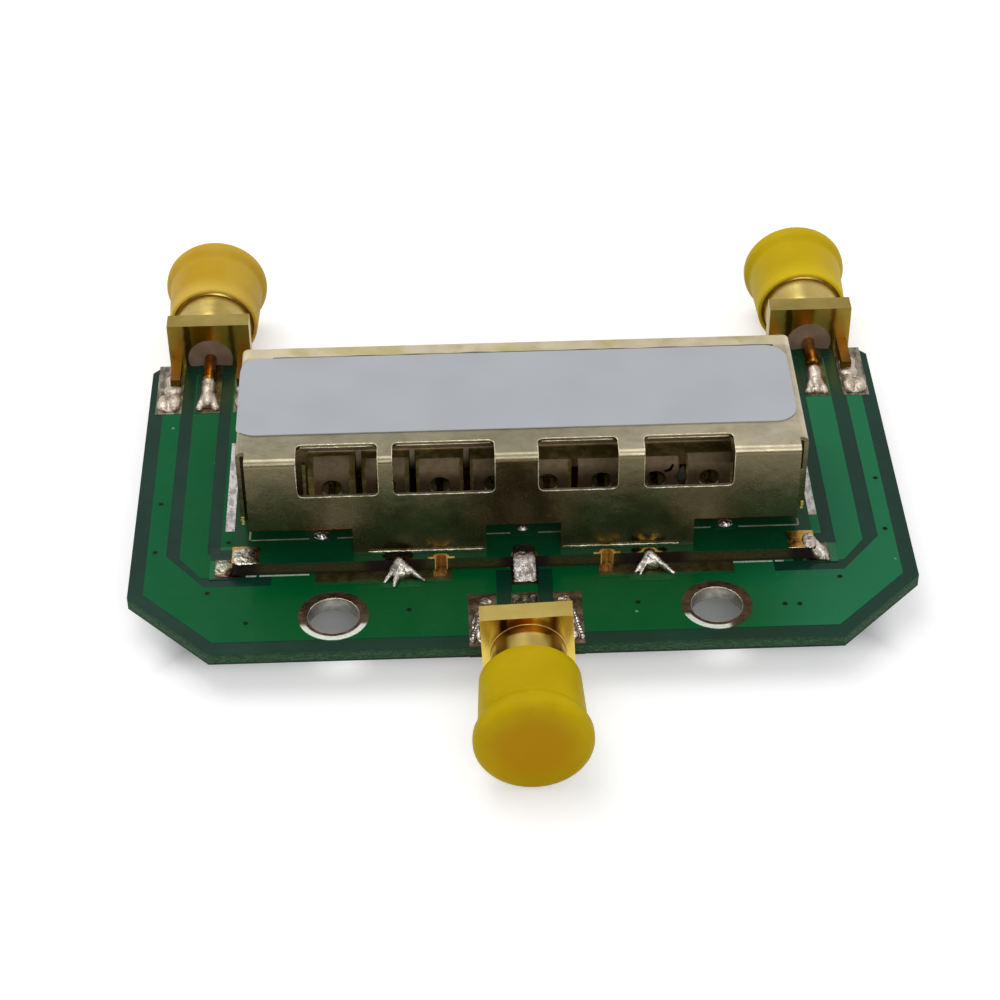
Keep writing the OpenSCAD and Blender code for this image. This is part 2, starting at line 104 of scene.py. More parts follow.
class Graph:
    """Nodes of a material or world."""

    def __init__(self, owner):
        owner.use_nodes = True
        self.tree = owner.node_tree
        self.tree.nodes.clear()

    def join(self, socket, value):
        if isinstance(value, Value):
            self.tree.links.new(value.socket, socket)
        else:
            socket.default_value = value

    def node(self, kind, inputs, **settings):
        """New node whose inputs, named or numbered, are set or linked."""
        made = self.tree.nodes.new(kind)
        for key, value in settings.items():
            setattr(made, key, value)
        for key, value in inputs.items():
            self.join(made.inputs[key], value)
        return made

    def get(self, kind, inputs, out=0, **settings):
        """An output of a new node."""
        return Value(self, self.node(kind, inputs, **settings).outputs[out])

    def xyz(self, vector):
        return [Value(self, part) for part in self.node("ShaderNodeSeparateXYZ", {0: vector}).outputs]

    def math(self, operation, a, b=0.0):
        return self.get("ShaderNodeMath", {0: a, 1: b}, operation=operation)

    def distance(self, a, b):
        return self.math("SQRT", a * a + b * b)

    def step(self, value, start, end, low=0.0, high=1.0):
        """Smooth step from low at start to high at end."""
        return self.get("ShaderNodeMapRange", {0: value, 1: start, 2: end, 3: low, 4: high},
                        interpolation_type="SMOOTHSTEP")

    def within(self, value, low, high, soft):
        """1 between low and high, 0 outside."""
        return self.step(value, low - soft, low + soft) * self.step(value, high + soft, high - soft)

    def blend(self, share, a, b):
        """Mix of two numbers."""
        return self.get("ShaderNodeMix", {0: share, 2: a, 3: b}, data_type="FLOAT")

    def mix(self, share, a, b):
        """Mix of two colours, each a Value or 8-bit sRGB values."""
        a, b = (c if isinstance(c, Value) else srgb(*c) for c in (a, b))
        return self.get("ShaderNodeMix", {0: share, 6: a, 7: b}, out=2, data_type="RGBA")

    def fade(self, value, low, high, start=0.3, end=0.75):
        """Straight fade from low at start to high at end."""
        made = self.node("ShaderNodeValToRGB", {0: value})
        for element, position, shade in zip(made.color_ramp.elements, (start, end), (low, high)):
            element.position = position
            element.color = (shade, shade, shade, 1)
        return Value(self, made.outputs[0])

    def ray(self, kind):
        """1 for rays of one kind."""
        return self.get("ShaderNodeLightPath", {}, f"Is {kind} Ray")

    def seen(self):
        """1 for camera, glossy and transmission rays."""
        return self.ray("Camera") | self.ray("Glossy") | self.ray("Transmission")


class Shade(Graph):
    """One material. Positions are the object's own coordinates in millimetres."""

    def __init__(self, name):
        self.material = bpy.data.materials.new(name)
        super().__init__(self.material)
        self.shader = self.node("ShaderNodeBsdfPrincipled", {})
        self.node("ShaderNodeOutputMaterial", {0: Value(self, self.shader.outputs[0])})
        place = self.get("ShaderNodeTexCoord", {}, "Object")
        self.at = self.get("ShaderNodeVectorMath", {0: place, "Scale": 1 / MM}, operation="SCALE")

    def place(self):
        return self.xyz(self.at)

    def normal(self):
        return self.xyz(self.get("ShaderNodeNewGeometry", {}, "Normal"))

    def noise(self, scale, detail=2.0, rough=0.5, stretch=(1, 1, 1), shift=0.0, warp=0.0):
        place = self.get("ShaderNodeMapping", {"Vector": self.at, "Scale": stretch,
                                               "Location": (shift, 2 * shift, 3 * shift)})
        return self.get("ShaderNodeTexNoise", {"Vector": place, "Scale": scale, "Detail": detail,
                                               "Roughness": rough, "Distortion": warp})

    def cells(self, scale):
        """Distance from the middle of a cell."""
        return self.get("ShaderNodeTexVoronoi", {"Vector": self.at, "Scale": scale})

    def done(self, colour, rough, height, depth, **values):
        """The finished material. The bump's depth is in millimetres, and further values are inputs of the
        shader, named in lower case with underscores."""
        bump = self.get("ShaderNodeBump", {"Strength": 1.0, "Distance": depth * MM, "Height": height})
        names = {s.name.lower().replace(" ", "_"): s for s in self.shader.inputs}
        for key, value in dict(values, base_color=colour, roughness=rough, normal=bump).items():
            self.join(names[key], value)
        return self.material


def board_material(name, mask, mask_dark, edge, edge_light, edge_dark, low, high, burns=()):
    """Solder mask on the faces, cut glass fibre on the sides, burnt brown between given places along x."""
    s = Shade(name)
    x, _, z = s.place()
    _, _, nz = s.normal()
    side = s.step(abs(nz), 0.6, 0.4)
    face = s.mix(s.step(s.noise(0.12, 3, shift=4), 0.35, 0.65), mask, mask_dark)
    weave = s.noise(2.2, 4, 0.65, stretch=(1, 1, 6), warp=0.6)
    chips = s.noise(9, 2, 0.6, stretch=(0.7, 0.7, 2.2), shift=9)
    fibre = s.mix(s.step(weave, 0.42, 0.62), edge, edge_light)
    fibre = s.mix(s.step(chips, 0.5, 0.7), fibre, edge_dark)
    fibre = s.mix(s.step(z, low + 0.28 * (high - low), low), fibre, edge_dark)
    fibre = s.mix(s.step(z, high - 0.45 * (high - low), high) * 0.6, fibre, mask)
    for left, right in burns:
        fibre = s.mix(s.within(x, left, right, 0.5), fibre, (34, 20, 14))
    rough = s.blend(side, s.fade(s.noise(0.6, 4), 0.2, 0.3, end=0.8), 0.75)
    relief = (weave + chips) * side + s.noise(1.6, 3) * 0.12
    return s.done(s.mix(side, face, fibre), rough, relief, 0.06, specular_ior_level=0.3)


def mask_material(name, tones, rough=0.2):
    """Solder mask over copper, a little wavy and with specks of dust. Tones are left, middle and right:
    painted reflection.
    """
    s = Shade(name)
    x, _, _ = s.place()
    drift = x + s.noise(0.12, 2, shift=2) * 8
    colour = s.mix(s.step(drift, -28, -8), tones[0], tones[1])
    colour = s.mix(s.step(drift, 16, 26), colour, tones[2])
    dust = s.step(s.cells(0.55), 0.075, 0.045) * s.step(s.noise(0.3, 1, shift=5), 0.5, 0.6)
    rough = s.fade(s.noise(0.5, 3, shift=7), rough, rough + 0.12, end=0.8)
    return s.done(s.mix(dust, colour, (120, 150, 130)), rough, s.noise(0.7, 3, shift=1), 0.02,
                  specular_ior_level=0.14)


def metal(name, light, dark, rough, scale, depth, metallic=1.0):
    """Plated metal: two tones in soft patches, uneven gloss between two values and a bump."""
    s = Shade(name)
    colour = s.mix(s.step(s.noise(scale, 4, 0.6), 0.35, 0.65), light, dark)
    return s.done(colour, s.fade(s.noise(scale * 2, 3, 0.6, shift=3), *rough),
                  s.noise(scale * 5, 3, 0.6, shift=6), depth, metallic=metallic)


def cover_material():
    """Tinned sheet, mottled and worn, faintly drawn along its length. Painted light and shade: pale on top,
    darker on the walls, a shaded front strip and a lit rear strip on the top.
    """
    s = Shade("cover_sheet")
    x, y, z = s.place()
    _, _, nz = s.normal()
    top = s.step(nz, 0.25, 0.9)
    mottle = s.step(s.noise(0.5, 5, 0.62, shift=3), 0.32, 0.7)
    drawn = s.step(s.noise(1.2, 3, 0.6, stretch=(0.12, 1, 1), shift=8), 0.5, 0.75)
    upper = s.mix(drawn, s.mix(mottle, (214, 203, 176), (188, 176, 148)), (200, 190, 160))
    blot = s.step(s.noise(0.22, 2, 0.5, stretch=(1, 1, 0.6), shift=14), 0.5, 0.62)
    # Walls darker than the top and darkest low down: painted shade
    wall = s.mix(mottle, (112, 108, 78), (96, 88, 62))
    wall = s.mix(blot * 0.7, wall, (128, 114, 88))
    wall = s.mix(s.step(z, 9.0, 12.4), wall, (120, 110, 84))
    # Painted shade over the left part of the top's front strip
    shaded_front_strip = s.step(x, 15, 0) * s.step(y, -3, -4.4)
    upper = s.mix(shaded_front_strip, upper, s.mix(mottle, (168, 160, 134), (150, 142, 116)))
    # Painted highlight along the top's rear strip
    lit_rear_strip = s.mix(s.step(s.noise(0.35, 3, shift=21), 0.42, 0.6), (236, 222, 190), (220, 206, 150))
    upper = s.mix(s.step(y, 4.3, 4.7), upper, lit_rear_strip)
    tone = s.mix(top, wall, upper)
    cut = s.step(abs(x), 12.1, 12.3) * s.within(z, WALL_FOOT, WALL_FOOT + 0.1, 0.04) * s.step(y, -7, -7.4)
    tone = s.mix(cut, tone, (140, 88, 50))
    specks = s.step(s.cells(0.9), 0.07, 0.03) * s.step(s.noise(0.25, 2, shift=11), 0.52, 0.6)
    gloss = s.noise(0.8, 4, 0.6, shift=2)
    rough = s.blend(top, s.fade(gloss, 0.22, 0.32), s.fade(gloss, 0.3, 0.42))
    relief = s.noise(14, 2, 0.6) * 0.3 + s.noise(0.9, 3, 0.5)
    return s.done(s.mix(specks, tone, (110, 96, 72)), rough, relief, 0.03, metallic=1.0)


def carrier_land_material():
    """Tinned lands: pale beside the cover and at the rear, brown in front of the filter board. Mask covers
    the lands in front of the joints and behind and beside the corner feet."""
    s = Shade("carrier_lands")
    x, y, _ = s.place()
    ax = abs(x)
    patches = s.step(s.noise(1.1, 4, 0.6), 0.35, 0.65)
    streaks = s.step(s.noise(2.6, 3, 0.6, stretch=(1, 0.35, 1), shift=5), 0.42, 0.6)

    def zone(left, right, front, rear, soft=0.03):
        """1 in a rectangle on either side."""
        return s.within(ax, left, right, soft) * s.within(y, front, rear, soft)

    tone = s.mix(patches, (128, 110, 98), (72, 58, 50))
    by_joints = (4, 15.9, -10.8, -7)
    # Beside the cover, at the rear, under the rear pins, by the front joints and round the holes
    for place, pattern, light, dark in (
            ((16.7, 22.2, -6.8, 8), streaks, (226, 220, 216), (178, 170, 166)),
            ((18, 30, 8, 20), streaks, (172, 164, 148), (118, 112, 98)),
            ((22.4, 24.6, 8, 20), patches, (132, 118, 84), (84, 76, 50)),
            (by_joints, patches, (112, 108, 66), (82, 78, 44)),
            ((8.1, 17.9, -20, -10.4), patches, (108, 90, 78), (80, 66, 58))):
        tone = s.mix(zone(*place), tone, s.mix(pattern, light, dark))
    # Bright arc on the tinned ring in front of each hole: painted highlight
    highlight_crescent = s.within(s.distance(ax - HOLE_X, y - HOLE_Y), 2.1, 3.0, 0.04)
    highlight_crescent *= s.step(y, HOLE_Y - 0.7, HOLE_Y - 1.1) * s.step(x, HOLE_X + 1.0, HOLE_X + 0.5)
    tone = s.mix(highlight_crescent, tone, (228, 232, 222))
    masked = zone(19, 23, -9.8, -5.0) * (1 - zone(18, 21.94, -8.72, -6.8))
    copper = zone(21.96, 23, -8.8, -6.82) | zone(18, 21.64, -5.72, -5)
    # Mask on the lands, in the painted reflection tones of the left and right
    mask = s.mix(s.step(x, -2, 2), MASK_REFLECTION_TONES[0], MASK_REFLECTION_TONES[2])
    tone = s.mix(masked, tone, s.mix(copper, (6, 50, 34), mask))
    ahead = zone(1.5, 18, -10.4, -9.54)
    tone = s.mix(ahead, tone, MASK_REFLECTION_TONES[1])
    half_holes = zone(5.42, 6.38, -9.2, -8.3, 0.08)
    tone = s.mix(half_holes, tone, s.mix(streaks, (158, 118, 60), (104, 76, 36)))
    beside = (s.within(x, -24.8, -24.0, 0.03) | s.within(x, 22.2, 23.0, 0.03)) * s.step(y, 8, 8.1)
    tone = s.mix(beside, tone, (8, 58, 38))
    plain = masked | beside | ahead | half_holes * 0.7 | zone(*by_joints) * 0.2
    rough = s.blend(highlight_crescent, s.fade(s.noise(1.8, 3, 0.6, shift=3), 0.24, 0.44), 0.5)
    return s.done(tone, rough, s.noise(3.5, 3, 0.6, shift=6), 0.03, metallic=1 - plain,
                  specular_ior_level=0.3)


def filter_land_material():
    """Gold lands of the filter board; the strips below the cover's skirts are under the mask."""
    s = Shade("filter_lands")
    x, y, z = s.place()
    ax = abs(x)
    patches = s.step(s.noise(1.4, 3, 0.6), 0.35, 0.65)
    gold = s.mix(patches, (240, 190, 100), (206, 148, 62))
    edge = s.step(y, FILTER_FRONT + 0.45, FILTER_FRONT + 0.1)
    # Plated edge face below the lands' top is darker: painted shade
    lining = s.step(z, FILTER_LAND - 0.02, FILTER_LAND - 0.1) * edge
    tone = s.mix(lining, gold, s.mix(patches, (150, 100, 40), (96, 62, 24)))
    barrel = s.step(ax, 4.4, 4.45) * s.step(ax, 6.6, 6.55)
    streak = s.step(s.noise(2.4, 2, 0.5, stretch=(1, 1, 0.1), shift=9), 0.44, 0.56)
    tone = s.mix(barrel * edge, tone, s.mix(streak, (255, 214, 128), (220, 158, 80)))
    tone = s.mix(s.within(x, -10.4, -7.4, 0.05), tone, s.mix(patches, (74, 62, 50), (44, 36, 28)))
    middle = s.step(ax, 1.7, 1.6)
    tone = s.mix(middle, tone, s.mix(patches, (150, 120, 58), (104, 80, 36)))
    under = s.within(y, -7.99, -5.0, 0.02) * s.step(ax, 17.5, 17.4)
    under *= s.step(z, FILTER_TOP - 0.1, FILTER_TOP - 0.05)
    dull = under | barrel * edge * 0.85 | middle * 0.7
    rough = s.blend(barrel, s.fade(s.noise(2.5, 3, 0.6), 0.16, 0.32), 0.42)
    return s.done(s.mix(under, tone, (4, 70, 36)), rough, s.noise(5, 3, 0.6), 0.012, metallic=1 - dull)


def port_material(name, axis_x, face_y, outward):
    """Plated brass of one port: satin on the flange's edges and polished on its faces, where painted
    reflections of the dark room stand in streaks. The neck has painted shade beside the flange and at its
    flanks."""
    s = Shade(name)
    x, y, _ = s.place()
    _, ny, nz = s.normal()
    out = (face_y - y) * outward
    flat_face = s.step(abs(ny), 0.75, 0.92)
    cloud = s.step(s.noise(0.4, 3, shift=2), 0.3, 0.7)
    # The rear ports' satin tones are darker: painted shade
    satin = ((202, 180, 106), (188, 164, 88)) if outward > 0 else ((184, 162, 92), (168, 146, 74))
    satin = s.mix(cloud, *satin)
    polished = s.mix(cloud, (255, 230, 116), (240, 208, 90))
    # Painted reflections of the dark room, in streaks across the polished faces
    streak = x - axis_x + s.noise(0.9, 2, shift=5) * 0.4
    for *place, colour in ((-1.2, 0.5, 0.25, (200, 128, 30)), (-1.75, -1.2, 0.15, (96, 60, 12)),
                           (1.8, 2.2, 0.2, (150, 106, 28))):
        polished = s.mix(s.within(streak, *place), polished, colour)
    outer = s.mix(flat_face, satin, polished)
    # Painted shade on the neck beside the flange and at its flanks
    neck = s.step(out, FLANGE_T + 0.01, FLANGE_T + 0.04) * s.step(out, 4.38, 4.36)
    heel = s.step(out - nz * 0.35, FLANGE_T + 0.5, FLANGE_T + 0.3)
    flank = s.within(nz, 0.5, 0.84, 0.06)
    outer = s.mix(neck * (heel | flank), outer, (120, 80, 20))
    legs, shaded = s.mix(cloud, (140, 98, 40), (112, 76, 28)), s.mix(cloud, (106, 86, 28), (78, 64, 18))
    board_side = s.step(out, 0.05, -0.05)
    colour = s.mix(board_side, outer, s.mix(flat_face, legs, shaded))
    rough = s.blend(flat_face, s.fade(s.noise(0.9, 3), 0.34, 0.44), s.blend(board_side, 0.24, 0.4))
    return s.done(colour, rough, s.noise(6, 2, 0.6), 0.003, metallic=1.0)


def clouded(name, light, dark, tone, gloss, rough, relief, depth, **values):
    """Material in two tones. Tone, gloss and relief are each the scale and detail of a noise."""
    s = Shade(name)
    colour = s.mix(s.step(s.noise(*tone), 0.3, 0.7), light, dark)
    return s.done(colour, s.fade(s.noise(*gloss), *rough, end=0.7), s.noise(*relief), depth, **values)


def cap_material(name, axis_x, shade, deep, shaded_core, lit_mouth):
    """Soft moulded plastic that lets some light in, deeper in colour at the middle of its closed end, a
    painted shade.
    The rear caps are paler round their mouths, a painted light."""
    s = Shade(name)
    x, y, z = s.place()
    _, ny, _ = s.normal()
    # Painted shade deepening the middle of the closed end
    end = s.step(abs(ny), 0.4, 0.98) * s.step(s.distance(x - axis_x, z - AXIS_Z), 4.0, 1.6)
    cloud = s.step(s.noise(0.25, 3, 0.5, shift=2), 0.3, 0.7)
    # Painted light round the rear caps' mouths
    body = s.mix(s.step(y, 22.8, 21.0) * s.step(y, 0, 1), s.mix(cloud, shade, deep), lit_mouth)
    return s.done(s.mix(end, body, shaded_core), s.fade(s.noise(1.5, 3), 0.42, 0.54), s.noise(2.2, 3, 0.55), 0.006,
                  subsurface_weight=0.3, subsurface_scale=1.0 * MM, subsurface_radius=(1.0, 0.7, 0.02),
                  specular_ior_level=0.08)


def ceramic_material(name, centre, half):
    """Ceramic face between dark plated margins, at one resonator's place."""
    s = Shade(name)
    x, _, z = s.place()
    _, ny, _ = s.normal()
    off = abs(x - centre) + (s.noise(2.5, 2, shift=centre) - 0.5) * 0.25
    face = s.step(off, half + 0.04, half - 0.04) * s.step(ny, -0.2, -0.35)
    # Body darker low on the face and lighter near the top: painted shade
    height = s.step(z, RESONATOR_AXIS_Z + 0.2, RESONATOR_TOP + 0.1)
    spots = s.step(s.noise(2.0, 3, 0.6, shift=2), 0.42, 0.7)
    body = s.mix(height, (104, 80, 54), (180, 158, 122))
    body = s.mix(spots, body, s.mix(height, (90, 70, 44), (162, 140, 104)))
    plated = s.mix(s.step(s.noise(1.6, 3, shift=5), 0.4, 0.65), (146, 130, 70), (186, 166, 100))
    return s.done(s.mix(face, plated, body), s.blend(face, 0.4, 0.62), s.noise(7, 3), 0.01,
                  metallic=s.blend(face, 0.55, 0.0))


def solder_material(name, light, dark, pit, rough, shift=0.0, tints=()):
    """Solder: bright skin in two tones with small dark pits and stains.
    A tint is (axis, start, end, share, colour) and grows from start to end along that axis."""
    s = Shade(name)
    patches = s.step(s.noise(1.3, 4, 0.65, shift=shift), 0.38, 0.68)
    stains = s.step(s.noise(2.4, 3, 0.7, shift=shift + 3), 0.6, 0.72)
    pits = s.step(s.cells(3.2), 0.16, 0.08) * s.step(s.noise(1.1, 2, shift=shift + 5), 0.48, 0.56)
    tone = s.mix(stains * 0.6, s.mix(patches, light, dark), pit)
    for axis, start, end, share, colour in tints:
        tone = s.mix(s.step(s.place()[axis], start, end) * share, tone, colour)
    return s.done(s.mix(pits, tone, pit), s.fade(s.noise(3, 3, 0.6, shift=shift + 7), rough, rough + 0.16),
                  s.noise(6, 3, 0.6) - pits, 0.03, metallic=1.0)


def web_material():
    """Webs between resonators: plated on the flat top and brown on the slope in front."""
    s = Shade("web_metal")
    _, _, nz = s.normal()
    level = s.step(nz, 0.95, 0.99)
    patches = s.step(s.noise(1.4, 4, 0.6), 0.35, 0.65)
    plated = s.mix(patches, (186, 166, 100), (146, 130, 70))
    burnt = s.mix(patches, (118, 82, 52), (84, 58, 38))
    return s.done(s.mix(level, burnt, plated), s.fade(s.noise(2.8, 3, 0.6, shift=3), 0.4, 0.5),
                  s.noise(7, 3, 0.6, shift=6), 0.01, metallic=s.blend(level, 0.0, 0.55))


def strip_material():
    """Ground comb and strip: bright at the top, darker towards the foot with painted shade."""
    s = Shade("strip_metal")
    patches = s.step(s.noise(1.2, 4, 0.6), 0.35, 0.65)
    upper = s.mix(patches, (250, 232, 192), (226, 200, 156))
    lower = s.mix(patches, (70, 54, 34), (52, 40, 24))
    colour = s.mix(s.step(s.place()[2], 7.7, 6.0), upper, lower)
    return s.done(colour, s.fade(s.noise(2.4, 3), 0.4, 0.55), s.noise(5, 3), 0.01, metallic=0.3)


# Materials
# Mask tones at the left, middle and right: painted reflection, lighter at the sides and darker in the middle
MASK_REFLECTION_TONES = ((4, 100, 56), (0, 86, 40), (30, 114, 74))
GREEN = mask_material("mask_over_copper", MASK_REFLECTION_TONES)
VIA = mask_material("via_mask", [(2, 26, 14)] * 3, rough=0.3)
CARRIER = board_material("carrier_laminate", (6, 50, 34), (10, 56, 40), (36, 76, 46), (72, 112, 78),
                         (12, 30, 20), BOARD_BOTTOM, BOARD_TOP)
FILTER = board_material("filter_laminate", (3, 66, 34), (6, 74, 40), (62, 62, 26), (84, 74, 34),
                        (48, 32, 18), LAND_TOP, FILTER_TOP,
                        burns=((-20.6, -18.8), (-11.2, -7), (-1.6, 1.9), (6.8, 11.6), (19, 20.8)))
SOLDER = solder_material("solder_metal", (232, 228, 224), (186, 176, 168), (84, 60, 48), 0.1)
DULL_SOLDER = solder_material("pitted_solder", (206, 198, 190), (128, 112, 102), (40, 30, 26), 0.24, shift=4)
FRONT_SOLDER = solder_material("front_solder", (224, 218, 208), (134, 122, 110), (50, 38, 30), 0.24, shift=2,
                               tints=((1, -8.75, -8.35, 0.8, (64, 54, 44)),))
MIDDLE_SOLDER = solder_material("middle_solder", (214, 208, 200), (132, 118, 108), (36, 28, 24), 0.26,
                                shift=4, tints=((1, -9.1, -8.3, 0.75, (120, 100, 94)),))
# Corner film: darker towards its right, and bright along its front edge, a painted highlight
CORNER_FILM = solder_material("corner_film", (214, 210, 196), (160, 154, 136), (36, 32, 20), 0.22, shift=8,
                              tints=((0, -19.75, -19.3, 0.85, (96, 82, 56)),
                                     (1, -8.3, -8.45, 1.0, (240, 238, 226))))
CORNER_FOOT = solder_material("corner_foot", (196, 196, 176), (128, 124, 98), (50, 36, 26), 0.28, shift=8,
                              tints=((1, -8.36, -8.5, 0.8, (104, 60, 46)),))
RIGHT_SOLDER = solder_material("right_corner_solder", (218, 208, 198), (150, 138, 126), (52, 38, 28), 0.3,
                               shift=12, tints=((2, 3.75, 3.5, 0.55, (128, 116, 98)),))
REAR_SOLDER = solder_material("rear_solder", (216, 202, 186), (178, 164, 148), (104, 80, 60), 0.36, shift=6)
# Light and dark tone, least and greatest roughness, scale of the patches, depth of the bump
SKIRT_FILLET = metal("skirt_fillet", (222, 214, 186), (140, 134, 104), (0.2, 0.4), 0.7, 0.04)
# Bright edges of the lands and the end walls' tips: painted highlight
GOLD_EDGE_HIGHLIGHT = metal("land_edge_gold", (255, 232, 160), (238, 200, 116), (0.2, 0.35), 2, 0.02)
FLUX = metal("burnt_flux", (44, 34, 20), (20, 14, 10), (0.2, 0.5), 3, 0.05)
PIN_METAL = metal("pin_metal", (206, 150, 70), (160, 104, 44), (0.15, 0.3), 0.8, 0.004)
# Bright sheared edges and hole rims: painted highlight
EDGE_HIGHLIGHT = metal("sheared_edge", (240, 230, 204), (206, 190, 150), (0.12, 0.3), 2.5, 0.04)
HOLE_METAL = metal("hole_plating", (178, 174, 168), (148, 144, 138), (0.35, 0.5), 1.5, 0.02)
NECK = metal("neck_gold", (206, 184, 110), (190, 164, 88), (0.3, 0.4), 0.5, 0.004)
TAB = metal("tab_metal", (230, 216, 186), (180, 164, 130), (0.2, 0.35), 2, 0.01)
CHIP = metal("chip_body", (150, 124, 90), (120, 98, 66), (0.4, 0.6), 2, 0.02)
POST = metal("post_metal", (206, 196, 130), (160, 150, 92), (0.4, 0.55), 2, 0.01)
# Bright lips of the resonators' holes: painted highlight
LIP_HIGHLIGHT = metal("lip_metal", (250, 250, 244), (196, 196, 190), (0.4, 0.55), 3, 0.02)
DROP = metal("wax_inside", (88, 92, 76), (70, 72, 60), (0.4, 0.6), 1.6, 0.02, metallic=0.3)
WAX = metal("wax_skin", (140, 132, 104), (104, 98, 74), (0.5, 0.7), 3, 0.02)
# Dark line at the label's rear edge: painted shadow
LABEL_EDGE_SHADOW = metal("glue_line", (96, 92, 84), (128, 120, 104), (0.4, 0.6), 0.8, 0.01)
FLOOR_COPPER = metal("plated_floor", (128, 108, 62), (92, 76, 40), (0.3, 0.5), 0.8, 0.02)
FILTER_LANDS = filter_land_material()
CARRIER_LANDS = carrier_land_material()
COVER = cover_material()
LABEL = clouded("label_film", (186, 190, 194), (180, 184, 189), (0.15, 2), (3, 3), (0.36, 0.46), (6, 3),
                0.004, specular_ior_level=0.4)
WEB = web_material()
STRIP = strip_material()
PRINT_LOOK = (3, 3), (3, 3), (0.6, 0.6), (12, 2), 0.01
SILK = clouded("silk_print", (198, 216, 200), (170, 192, 176), *PRINT_LOOK)
# Print under the cover, darkened: painted shade
SHADED_SILK = clouded("silk_print_dull", (168, 166, 144), (134, 130, 110), *PRINT_LOOK)
# Insulator: white plastic given a brownish grey, painted shade
SHADED_INSULATOR = clouded("insulator_plastic", (160, 136, 116), (138, 116, 96), (0.8, 2), (2, 2), (0.35, 0.5),
                    (5, 2), 0.01, subsurface_weight=0.2, subsurface_scale=0.5 * MM, specular_ior_level=0.4)
# Each cap: two cloud tones, the painted shade of its end's middle and the painted light of its mouth
CAPS = {port: cap_material(f"{port}_cap_plastic", PORTS[port][0][0], *shades) for port, shades in (
    ("antenna", ((206, 178, 6), (196, 164, 0), (198, 148, 0), (206, 178, 6))),
    ("left", ((212, 174, 58), (204, 160, 34), (190, 140, 30), (230, 190, 80))),
    ("right", ((212, 182, 14), (204, 170, 10), (190, 150, 8), (226, 194, 30))))}
PORT_METAL = {port: port_material(f"{port}_port_metal", *place, -1 if turn else 1)
              for port, (place, turn) in PORTS.items()}


def paint(name, material):
    mesh = nodes[name].data
    mesh.materials.clear()
    mesh.materials.append(material)


for name, material in {
        "carrier_board": CARRIER, "filter_board": FILTER, "carrier_pads": CARRIER_LANDS,
        "filter_pads": FILTER_LANDS, "shield_cover": COVER, "cover_label": LABEL, "resonator_tabs": TAB,
        "ground_comb": STRIP, "ground_strip": STRIP, "coupling_capacitors": CHIP,
        "filter_solder": SOLDER}.items():
    paint(name, material)
for i, face_half in enumerate((1.27, 1.4, 1.46, 1.5, 1.48, 1.7, 1.6, 1.55), 1):
    paint(f"resonator_{i}", ceramic_material(f"resonator_face_{i}", resonator_x(i), face_half))
for port in PORTS:
    paint(f"{port}_connector", PORT_METAL[port])
    paint(f"{port}_contact", PIN_METAL)
    paint(f"{port}_solder", SOLDER)
    paint(f"{port}_insulator", SHADED_INSULATOR)
    paint(f"{port}_cap", CAPS[port])


def finish_piece(name, mesh, material, slot, body=MODULE, smooth=True, replaces=()):
    """Puts a mesh made in millimetres into the scene as a piece on a body."""
    mesh.transform(Matrix.Scale(MM, 4))
    mesh.materials.clear()
    mesh.materials.append(material)
    if smooth:
        mesh.polygons.foreach_set("use_smooth", [True] * len(mesh.polygons))
    obj = placed(name, mesh)
    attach(obj, body)
    if replaces:
        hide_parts(*replaces)
    return obj


def placed(name, data):
    """New object in the scene."""
    obj = bpy.data.objects.new(name, data)
    bpy.context.scene.collection.objects.link(obj)
    return obj


def mesh_of(name, bm, outward=True):
    """Mesh of bm, which is freed."""
    if outward:
        bmesh.ops.recalc_face_normals(bm, faces=bm.faces)
    mesh = bpy.data.meshes.new(name)
    bm.to_mesh(mesh)
    bm.free()
    return mesh


def evaluated(obj):
    """A new mesh of obj with its modifiers, after which obj and its data are gone."""
    graph = bpy.context.evaluated_depsgraph_get()
    mesh = bpy.data.meshes.new_from_object(obj.evaluated_get(graph))
    data = obj.data
    bpy.data.objects.remove(obj)
    (bpy.data.curves if isinstance(data, bpy.types.Curve) else bpy.data.meshes).remove(data)
    return mesh


def curve_mesh(name, paths, closed, radius, **settings):
    """Mesh of a curve along lines of points. The radius of a path's point i scales its width there."""
    curve = bpy.data.curves.new(name, "CURVE")
    for key, value in settings.items():
        setattr(curve, key, value)
    for path in paths:
        spline = curve.splines.new("POLY")
        spline.points.add(len(path) - 1)
        for i, point in enumerate(spline.points):
            point.co = (*path[i], 1)
            point.radius = radius(path, i)
        spline.use_cyclic_u = closed
    return evaluated(placed(name, curve))


def flat(name, loops, z, t, material, slot, bevel=0.0):
    """Thin plate from closed loops, where a loop inside another is a hole."""
    paths = [[(x, y, 0) for x, y in loop] for loop in loops]
    mesh = curve_mesh(name, paths, True, lambda path, i: 1, dimensions="2D", fill_mode="BOTH",
                      extrude=t / 2 - bevel, bevel_depth=bevel, offset=-bevel)
    mesh.transform(Matrix.Translation((0, 0, z + t / 2)))
    finish_piece(name, mesh, material, slot, smooth=False)


def tube(name, paths, radius, material, slot, closed=False, ragged=0.0):
    """Round wires along the given lines of points, thicker and thinner by the ragged share."""
    def width(path, i):
        taper = 1 if closed else 0.55 + 0.45 * min(1, min(i, len(path) - 1 - i) / 2)
        return taper * (1 + ragged * noise.noise(Vector(path[i]) * 3.1))

    mesh = curve_mesh(name, paths, closed, width, dimensions="3D", bevel_depth=radius, bevel_resolution=2,
                      use_fill_caps=True)
    finish_piece(name, mesh, material, slot)


def spread(start, end, n):
    """Values from start to end in n equal steps."""
    return [start + (end - start) * i / n for i in range(n + 1)]


def arc(cx, cy, start, end, r, n=5):
    """Points on a circle from one angle to another, in degrees."""
    angles = [math.radians(a) for a in spread(start, end, n)]
    return [(cx + r * math.cos(a), cy + r * math.sin(a)) for a in angles]


def circle(x, y, r, n):
    return arc(x, y, 0, 360, r, n)[:-1]


